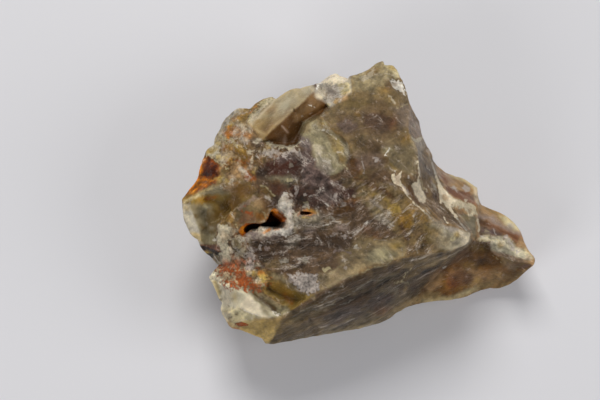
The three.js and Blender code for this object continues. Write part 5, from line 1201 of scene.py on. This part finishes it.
def point_normals(points, faces):
    """Unit normals at the points, weighted by the area of the triangles around them."""
    a, b, c = (points[faces[:, corner]] for corner in range(3))
    weighted = np.cross(b - a, c - a)
    normals = np.zeros_like(points)
    for corner in range(3):
        for axis in range(3):
            normals[:, axis] += np.bincount(faces[:, corner], weighted[:, axis], len(points))
    return normals / np.maximum(np.linalg.norm(normals, axis=1, keepdims=True), 1e-12)


def sharp_edges(points, faces):
    """The edges where two triangles meet at more than the crease angle, as pairs of point numbers."""
    edges, of_face = edges_of(faces)
    normals = face_normals(points, faces)
    sides = np.argsort(of_face.reshape(-1), kind="stable").reshape(-1, 2) // 3
    cosine = (normals[sides[:, 0]] * normals[sides[:, 1]]).sum(axis=1)
    return edges[cosine < math.cos(CREASE_ANGLE)]


def split_long_edges(points, faces, creases):
    """Halves every edge that is longer than its place allows."""
    edges, of_face = edges_of(faces)
    ends = points[edges]
    middles = ends.mean(axis=1)
    normals = point_normals(points, faces)[edges].mean(axis=1)
    seen = normals @ TOWARDS > SEEN_TURN
    on_back = ends[..., 2].max(axis=1) < BACK_HEIGHT
    allowed = np.where(on_back, BACK_EDGE, np.where(seen, SEEN_EDGE, HIDDEN_EDGE))
    is_long = np.linalg.norm(ends[:, 0] - ends[:, 1], axis=1) > allowed
    new = np.full(len(edges), -1)
    new[is_long] = len(points) + np.arange(is_long.sum())
    halves = new[of_face]
    parts = [faces[(halves < 0).all(axis=1)]]
    count = (halves >= 0).sum(axis=1)
    for turn in range(3):
        f = np.roll(faces, -turn, axis=1)
        h = np.roll(halves, -turn, axis=1)
        one = (count == 1) & (h[:, 0] >= 0)
        parts.append(np.stack([f[one, 0], h[one, 0], f[one, 2]], axis=1))
        parts.append(np.stack([h[one, 0], f[one, 1], f[one, 2]], axis=1))
        two = (count == 2) & (h[:, 0] < 0)
        parts.append(np.stack([f[two, 2], h[two, 2], h[two, 1]], axis=1))
        parts.append(np.stack([f[two, 0], f[two, 1], h[two, 1]], axis=1))
        parts.append(np.stack([f[two, 0], h[two, 1], h[two, 2]], axis=1))
    three = count == 3
    for corner in range(3):
        ends = [halves[three, corner], halves[three, corner - 1]]
        parts.append(np.stack([faces[three, corner], *ends], axis=1))
    parts.append(halves[three])
    size = faces.max() + 1
    place = np.searchsorted(edges[:, 0] * size + edges[:, 1], creases[:, 0] * size + creases[:, 1])
    half = new[place]
    split = half >= 0
    creases = np.concatenate(
        [
            creases[~split],
            np.stack([creases[split, 0], half[split]], axis=1),
            np.stack([creases[split, 1], half[split]], axis=1),
        ]
    )
    return np.concatenate([points, middles[is_long]]), np.concatenate(parts), creases


def refined(points, faces):
    """The mesh with short edges everywhere, and its creases."""
    creases = sharp_edges(points, faces)
    for _ in range(SPLITTING_ROUNDS):
        points, faces, creases = split_long_edges(points, faces, creases)
    return points, faces, creases


def mean_of_neighbours(points, pairs):
    """The mean place of the points that each point is paired with, and how many there are."""
    both = np.concatenate([pairs, pairs[:, ::-1]])
    count = np.bincount(both[:, 0], minlength=len(points))
    totals = [np.bincount(both[:, 0], points[both[:, 1], axis], len(points)) for axis in range(3)]
    return np.stack(totals, axis=1) / np.maximum(count, 1)[:, None], count


def smoothed(points, faces, creases):
    """The mesh with its facets rounded off and its creases kept."""
    edges, _ = edges_of(faces)
    fixed = points[:, 2] < BACK_HEIGHT
    for _ in range(SMOOTHING_ROUNDS):
        around, _ = mean_of_neighbours(points, edges)
        along, count = mean_of_neighbours(points, creases)
        target = np.where((count == 2)[:, None], along, around)
        pull = np.where(count > 2, CORNER_PULL, SURFACE_PULL)[:, None]
        points = np.where(fixed[:, None], points, points + pull * (target - points))
    return points


# Painting


def face_spots(points):
    """Where the camera sees the points, as face points."""
    away = points - FACE_ORIGIN
    depth = away @ TOWARDS
    flat = np.stack([away @ RIGHT, away @ UP], axis=1)
    return VIEW_CENTRE + (flat - VIEW_CENTRE) * (VIEW_DISTANCE / (VIEW_DISTANCE - depth))[:, None]


def wandering(spots):
    """How far a ragged edge wanders at face points, in both directions."""
    total = np.zeros_like(spots)
    for size, reach, seeds in WANDERING:
        total += reach * np.stack([layered(spots, size, seed) for seed in seeds], axis=1)
    return total


def laid(rows, spots, wander):
    """The name and edge of every shape in some rows, and how far face points lie inside it."""
    for name, edge, *shapes in rows:
        for shape in shapes:
            yield name, EDGES[edge], shape(spots + EDGES[edge].rag * wander)


def cover(edge, depth):
    """How much of a shape shows, from 0 to 1, at points that deep inside it."""
    return edge.strength * smoothstep(-edge.soft, edge.soft, depth)


def towards(colours, share, target):
    """Moves colours towards another by a share at each point."""
    colours += share[:, None] * (target - colours)


def paint_front(spots, wander):
    """The body's colours that the camera sees, the crusts' colours, and how surely a crust lies there."""
    body = np.tile(srgb(MINERALS["smoke"]), (len(spots), 1))
    crusts = []
    for rows, light in PAINT:
        for name, edge, depth in laid(rows, spots, wander):
            # light is the region's factor, which paints light and shade into each colour it lays
            colour = light * srgb(MINERALS[name])
            if edge.fray:
                crusts.append((edge, depth, colour))
            else:
                towards(body, cover(edge, depth), colour)
    crust = body.copy()
    surely = np.zeros(len(spots))
    for edge, depth, colour in crusts:
        there = np.clip(0.5 + depth / edge.fray, 0, 1)
        towards(crust, edge.strength * smoothstep(0, 0.5, there), colour)
        surely = np.maximum(surely, there)
    return body, crust, surely


def feel_front(spots, wander):
    """How much of each texture there is at each face point."""
    shares = {name: np.zeros(len(spots)) for name in TEXTURES}
    shares["break"] += 1
    for name, edge, depth in laid(FEEL, spots, wander):
        share = cover(edge, depth)
        for other in shares.values():
            other *= 1 - share
        shares[name] += share
    return shares


def paint_hidden(points):
    """The colours of the sides and back, which the camera doesn't see."""
    colour = np.tile(srgb(MINERALS[HIDDEN_BASE]), (len(points), 1))
    for name, cloud in HIDDEN_CLOUDS:
        towards(colour, cloud.at(points, points), srgb(MINERALS[name]))
    light, red = (srgb(MINERALS[name]) for name in LOBE_COLOURS)
    bands = points @ BAND_DIRECTION + BAND_WAVE * layered(points, 8, 61)
    banded = np.tile(light, (len(points), 1))
    towards(banded, smoothstep(-0.3, 0.5, np.sin(bands * math.tau * BANDS_PER_MM)), red)
    along = points[:, 0] + 2 * layered(points, 5, 63)
    towards(colour, smoothstep(LOBE_START - LOBE_FADE, LOBE_START + LOBE_FADE, along), banded)
    bend = np.stack([layered(points, SIDE_BEND_SIZE, seed) for seed in SIDE_BEND_SEEDS], axis=1)
    bent = points + SIDE_BEND * bend
    pale, warm = (srgb(MINERALS[name]) for name in CRUST_COLOURS)
    crusted = np.tile(pale, (len(points), 1))
    towards(crusted, WARM_CLOUD.at(points, bent), warm)
    towards(colour, SIDE_CRUST * CRUST_CLOUD.at(points, bent), crusted)
    towards(colour, SIDE_STAIN * STAIN_CLOUD.at(points, bent), srgb(MINERALS[STAIN_COLOUR]))
    return colour


def painted(points, spots, wander, shares, hidden):
    """The body's and the crusts' colours all over, and how surely a crust lies there."""
    body, crust, surely = paint_front(spots, wander)
    back = paint_hidden(points)
    towards(body, hidden, back)
    towards(crust, hidden, back)
    for name, size, seed in CRUST_FLECKS:
        there = shares["crusted"] * smoothstep(0.1, 0.45, layered(spots, size, seed))
        towards(body, FLECK_STRENGTH * there, srgb(MINERALS[name]))
        towards(crust, CRUST_FLECK_STRENGTH * there, srgb(MINERALS[name]))
    return body, crust, surely * (1 - hidden)


# Relief and shade


def mixed(shares, field):
    """A texture's value at each point, where every texture has its share."""
    return sum(share * getattr(TEXTURES[name], field) for name, share in shares.items())


def fibres(spots, texture, seed):
    """Fibres or grains along a texture's direction, from -1 to 1."""
    along = turned(spots, texture.turn) / np.array([texture.stretch, 1.0])
    bend = np.stack([noise(spots, BEND_SIZE, seed + 5), noise(spots, BEND_SIZE, seed + 6)], axis=1)
    bent = along + BEND_REACH * bend
    splinters = 1 - 2 * np.abs(noise(bent, SPLINTER_SIZE, seed + 3))
    return THREAD_SHARE * layered(bent, THREAD_SIZE, seed) + (1 - THREAD_SHARE) * splinters


def threads_and_lumps(points, spots, shares, hidden):
    """The textures' fibres and splinters, and the rounded knobs of the crusts."""
    threads = np.zeros(len(points))
    for number, (name, texture) in enumerate(TEXTURES.items()):
        threads += shares[name] * fibres(spots, texture, FIRST_FIBRE_SEED + 10 * number)
    threads = threads * (1 - hidden) + hidden * layered(points, SIDE_LUMPS, 91)
    lumps = sum(share * knobs(points, size, seed) for size, share, seed in KNOBS) - KNOB_MEAN
    return threads, lumps


def roughened(points, normals, shares, threads, lumps):
    """The points moved out and in by their texture's relief. The flat back stays flat."""
    knobbly = mixed(shares, "knobbly")
    height = mixed(shares, "relief") * ((1 - knobbly) * threads + knobbly * KNOB_RISE * lumps)
    height += WAVE_HEIGHT * layered(points, WAVE_SIZE, 221)
    flat = points[:, 2] < BACK_HEIGHT
    moved = points + np.where(flat, 0, height)[:, None] * normals
    moved[:, 2] = np.where(flat, points[:, 2], np.maximum(moved[:, 2], BACK_HEIGHT))
    return moved


def ridge_and_hollow(points, faces, normals):
    """How far each point stands over the mean surface around it, from -1 in hollows to 1 on ridges."""
    edges, _ = edges_of(faces)
    around = points
    for _ in range(SURROUNDINGS_ROUNDS):
        around, _ = mean_of_neighbours(around, edges)
    return np.clip(((points - around) * normals).sum(axis=1) / RIDGE_HEIGHT, -1, 1)


def shading(points, shares, threads, lumps, standing):
    """How many times lighter or darker than plain the painted colours are: the stone's own mottles, painted
    shade in cracks and hollows, and painted light on ridges.
    """
    shade = 1 + mixed(shares, "contrast") * (threads + MOTTLE_SHADE * layered(points, MOTTLE_SIZE, 241))
    shade += BROAD_SHADE * layered(points, BROAD_SIZE, 251)
    shade *= 1 - CRACK_SHADE * mixed(shares, "knobbly") * smoothstep(0.1, -0.5, lumps)
    return shade * (1 + RIDGE_LIGHT * np.maximum(standing, 0) + HOLLOW_SHADE * np.minimum(standing, 0))


def dressed(points, faces):
    """The points roughened, and what the material reads at each of them."""
    normals = point_normals(points, faces)
    spots = face_spots(points)
    wander = wandering(spots)
    hidden = smoothstep(*TURNING_AWAY, normals @ TOWARDS)
    shares = {name: share * (1 - hidden) for name, share in feel_front(spots, wander).items()}
    shares["break"] += hidden
    threads, lumps = threads_and_lumps(points, spots, shares, hidden)
    moved = roughened(points, normals, shares, threads, lumps)
    shade = shading(points, shares, threads, lumps, ridge_and_hollow(moved, faces, normals))
    body, crust, surely = painted(points, spots, wander, shares, hidden)
    body = np.clip(body * (shade * (1 - FROST_DARKENING * mixed(shares, "frost")))[:, None], 0, 1)
    crust = np.clip(crust * (0.5 + 0.5 * shade)[:, None], 0, 1)
    frosts = {name: share * TEXTURES[name].frost for name, share in shares.items()}
    directed = [frosts.pop(name) for name in FROST_GRAINS if name in frosts]
    layers = {
        "body": np.column_stack([body, mixed(shares, "grain")]),
        "crust": np.column_stack([crust, surely]),
        "frost": np.column_stack([*directed, sum(frosts.values())]),
    }
    return moved, layers, mixed(shares, "roughness")


# Objects


def make_surface(solid):
    """The stone's fine mesh, with what its material reads as attributes."""
    points, faces, creases = refined(*merged(solid.data))
    points = smoothed(points, faces, creases)
    points, layers, roughness = dressed(points, faces)
    mesh = bpy.data.meshes.new("stone_surface")
    mesh.from_pydata((points * MM).tolist(), [], faces.tolist())
    mesh.shade_smooth()
    for name, values in layers.items():
        mesh.attributes.new(name, "FLOAT_COLOR", "POINT").data.foreach_set("color", values.ravel())
    mesh.attributes.new("roughness", "FLOAT", "POINT").data.foreach_set("value", roughness)
    surface = bpy.data.objects.new("stone_surface", mesh)
    bpy.context.scene.collection.objects.link(surface)
    return surface


class Nodes:
    """A material's node tree, built one node at a time."""

    def __init__(self, name):
        self.material = bpy.data.materials.new(name)
        self.material.use_nodes = True
        self.tree = self.material.node_tree
        self.shader = self.tree.nodes["Principled BSDF"]

    def add(self, kind, inputs=None, **settings):
        """A new node with its settings, and its inputs linked or set."""
        node = self.tree.nodes.new(kind)
        for key, value in settings.items():
            setattr(node, key, value)
        for key, value in (inputs or {}).items():
            self.put(node, key, value)
        return node

    def put(self, node, key, value):
        """Links an output to a node's input, or sets the input's value."""
        if isinstance(value, bpy.types.NodeSocket):
            self.tree.links.new(value, node.inputs[key])
        else:
            node.inputs[key].default_value = value

    def placed(self, vector, turns, sizes, place=(0, 0, 0)):
        """Coordinates in a frame with that place, those turns and those sizes."""
        keys = {"Vector": vector, "Location": place, "Rotation": turns, "Scale": sizes}
        return self.add("ShaderNodeMapping", keys, vector_type="TEXTURE").outputs["Vector"]

    def noise(self, vector, size, detail, distortion=0.0):
        """Noise from 0 to 1 with grains of that size."""
        keys = {"Vector": vector, "Scale": 1 / size, "Detail": detail, "Roughness": 0.6}
        return self.add("ShaderNodeTexNoise", {**keys, "Distortion": distortion}).outputs["Fac"]

    def ranged(self, value, low, high, to_low=0.0, to_high=1.0):
        """A value moved from one range to another, and held in it."""
        keys = {"Value": value, "From Min": low, "From Max": high, "To Min": to_low, "To Max": to_high}
        return self.add("ShaderNodeMapRange", keys).outputs["Result"]

    def maths(self, operation, a, b, c=0.0):
        """One sum of two or three values."""
        node = self.add("ShaderNodeMath", operation=operation)
        for key, value in enumerate((a, b, c)):
            self.put(node, key, value)
        return node.outputs[0]

    def mix(self, share, a, b):
        """Two colours mixed."""
        node = self.add("ShaderNodeMix", data_type="RGBA")
        self.put(node, 0, share)
        self.put(node, 6, a)
        self.put(node, 7, b)
        return node.outputs[2]

    def scaled(self, colour, factor):
        """A colour made darker or lighter."""
        return self.add("ShaderNodeVectorMath", {0: colour, "Scale": factor}, operation="SCALE").outputs[0]

    def attribute(self, name):
        """The Attribute node of one of the mesh's attributes."""
        return self.add("ShaderNodeAttribute", attribute_name=name)


def frosting(nodes, face, amounts):
    """Where pale frosting lies: in clumps of threads that run as the textures' fibres do."""
    channels = nodes.add("ShaderNodeSeparateColor", {"Color": amounts.outputs["Color"]}).outputs
    shown = 0.0
    for (turn, length, width), amount in zip(FROST_GRAINS.values(), [*channels, amounts.outputs["Alpha"]]):
        along = nodes.placed(face, (0, 0, math.radians(turn)), (length, width, width))
        spread = nodes.maths("SUBTRACT", nodes.noise(along, size=1.0, detail=4, distortion=1.2), 0.5)
        thin = nodes.ranged(nodes.maths("ABSOLUTE", spread, 0.0), 0.0, 0.12, 0.14, -0.05)
        threads = nodes.maths("ADD", nodes.noise(along, size=3.0, detail=5, distortion=0.6), thin)
        frosted = nodes.maths("MULTIPLY_ADD", amount, FROST_REACH, threads)
        shown = nodes.maths("MAXIMUM", shown, nodes.ranged(frosted, *FROST_SHOWS))
    return shown


def chalcedony():
    """Fibrous chalcedony: its painted body, pale frosting in fine grains that is painted white as glints
    where it is densest, painted glints in fine specks, and crusts with frayed edges.
    """
    nodes = Nodes("chalcedony")
    place = nodes.add("ShaderNodeTexCoord").outputs["Object"]
    face = nodes.placed(place, (math.pi / 2 - FACE_TILT, 0, 0), (MM, MM, MM), (FACE_ORIGIN * MM).tolist())
    grains = nodes.noise(face, GRAIN_SIZE, detail=4)
    frays = nodes.noise(face, FRAY_SIZE, detail=6)
    coarse = nodes.noise(face, COARSE_SIZE, detail=3)
    glint_noise = nodes.noise(face, GLINT_SIZE, detail=2)
    body = nodes.attribute("body")
    fine = nodes.ranged(grains, *NOISE_SPAN, -0.5, 0.5)
    uneven = nodes.maths("ADD", fine, nodes.ranged(coarse, *NOISE_SPAN, -0.3, 0.3))
    tint = nodes.maths("MULTIPLY_ADD", uneven, body.outputs["Alpha"], 1.0)
    crust = nodes.attribute("crust")
    wander = nodes.maths("MULTIPLY_ADD", frays, 2.4, -1.2)
    lies = nodes.ranged(nodes.maths("ADD", crust.outputs["Alpha"], wander), 0.45, 0.55)
    plain = nodes.scaled(nodes.mix(lies, body.outputs["Color"], crust.outputs["Color"]), tint)
    amounts = nodes.attribute("frost")
    frost = frosting(nodes, face, amounts)
    pale = nodes.mix(0.5, (*srgb(MINERALS["frost"]), 1), nodes.scaled(plain, 2.2))
    # Painted glints: the pale frosting turns white where it is densest, as light catching on its threads
    frost_with_glints = nodes.mix(nodes.ranged(frost, 0.4, 1.0), pale, (*srgb(MINERALS["white"]), 1))
    on_body = nodes.ranged(frost, 0.0, 0.6, 0.0, 0.85)
    covered = nodes.maths("MULTIPLY", on_body, nodes.ranged(lies, 0.0, 1.0, 1.0, 0.5))
    crusted = nodes.mix(covered, plain, frost_with_glints)
    # Painted glints: fine specks made 2.2 times lighter where frosting lies, as sparkles of light
    glints = nodes.maths("MULTIPLY", nodes.ranged(glint_noise, 0.62, 0.74), amounts.outputs["Alpha"])
    colour = nodes.mix(glints, crusted, nodes.scaled(crusted, 2.2))
    frosted = nodes.maths("MULTIPLY_ADD", frost, FROST_HEIGHT, grains)
    height = nodes.maths("MULTIPLY_ADD", lies, CRUST_HEIGHT, frosted)
    uneven_gloss = nodes.ranged(grains, *NOISE_SPAN, -0.08, 0.12)
    bump = {"Height": height, "Strength": BUMP_STRENGTH, "Distance": BUMP_DEPTH * MM}
    for key, value in {
        "Base Color": colour,
        "Roughness": nodes.maths("ADD", nodes.attribute("roughness").outputs["Fac"], uneven_gloss),
        "Normal": nodes.add("ShaderNodeBump", bump).outputs["Normal"],
        "IOR": 1.54,
        "Specular IOR Level": 0.15,
        "Subsurface Weight": 0.12,
        "Subsurface Radius": (1.0, 0.75, 0.5),
        "Subsurface Scale": 0.6 * MM,
    }.items():
        nodes.put(nodes.shader, key, value)
    return nodes.material


def plain_floor():
    """The pale floor that the stone lies on."""
    nodes = Nodes("floor")
    nodes.put(nodes.shader, "Base Color", (0.71, 0.72, 0.77, 1))
    nodes.put(nodes.shader, "Roughness", 0.9)
    nodes.put(nodes.shader, "Specular IOR Level", 0.1)
    bpy.ops.mesh.primitive_plane_add(size=6)
    floor = bpy.context.active_object
    floor.name = "floor"
    floor.data.materials.append(nodes.material)
    return floor


def face_place(x, y, depth):
    """A place over the display face, in metres in the stone's frame."""
    return Vector((FACE_ORIGIN + x * RIGHT + y * UP + depth * TOWARDS) * MM)


def soft_light(name, place, size, watts, colour):
    """A square soft light that shines at the display face."""
    lamp = bpy.data.lights.new(name, "AREA")
    lamp.size = size * MM
    lamp.energy = watts
    lamp.color = colour
    light = bpy.data.objects.new(name, lamp)
    light.location = face_place(*place)
    light.rotation_euler = (face_place(0, 0, 0) - light.location).to_track_quat("-Z", "Y").to_euler()
    bpy.context.scene.collection.objects.link(light)


def light_room():
    """Soft light from the top of the picture, and an even pale room."""
    world = bpy.data.worlds.new("room")
    world.use_nodes = True
    background = world.node_tree.nodes["Background"]
    background.inputs["Color"].default_value = (0.98, 0.98, 1.0, 1)
    background.inputs["Strength"].default_value = 0.12
    bpy.context.scene.world = world
    soft_light("key", place=(-60, 400, 330), size=240, watts=1.9, colour=(1.0, 0.97, 0.92))
    soft_light("fill", place=(-300, -260, 300), size=240, watts=0.9, colour=(1.0, 0.98, 0.95))
    soft_light("side", place=(420, -40, 300), size=260, watts=0.9, colour=(1.0, 0.98, 0.95))
    bpy.context.scene.view_settings.view_transform = "Standard"


def camera_over_face():
    """The camera that looks down on the display face."""
    data = bpy.data.cameras.new("camera")
    data.sensor_width = SENSOR_WIDTH
    data.lens = SENSOR_WIDTH * VIEW_DISTANCE / PICTURE_WIDTH
    data.clip_start = 0.01
    camera = bpy.data.objects.new("camera", data)
    camera.location = face_place(*VIEW_CENTRE, VIEW_DISTANCE)
    camera.rotation_euler = (math.pi / 2 - FACE_TILT, 0, 0)
    bpy.context.scene.collection.objects.link(camera)
    bpy.context.scene.camera = camera


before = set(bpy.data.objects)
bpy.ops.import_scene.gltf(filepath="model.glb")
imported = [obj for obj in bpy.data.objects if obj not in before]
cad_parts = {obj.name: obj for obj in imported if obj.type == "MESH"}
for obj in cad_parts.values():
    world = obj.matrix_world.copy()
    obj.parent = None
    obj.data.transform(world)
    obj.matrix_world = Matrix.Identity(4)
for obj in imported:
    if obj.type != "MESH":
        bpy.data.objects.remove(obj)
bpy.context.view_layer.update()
camera_over_face()
light_room()
plain_floor()
stone = make_surface(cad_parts["stone"])
stone.data.materials.append(chalcedony())
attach(stone, "root")
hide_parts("stone")
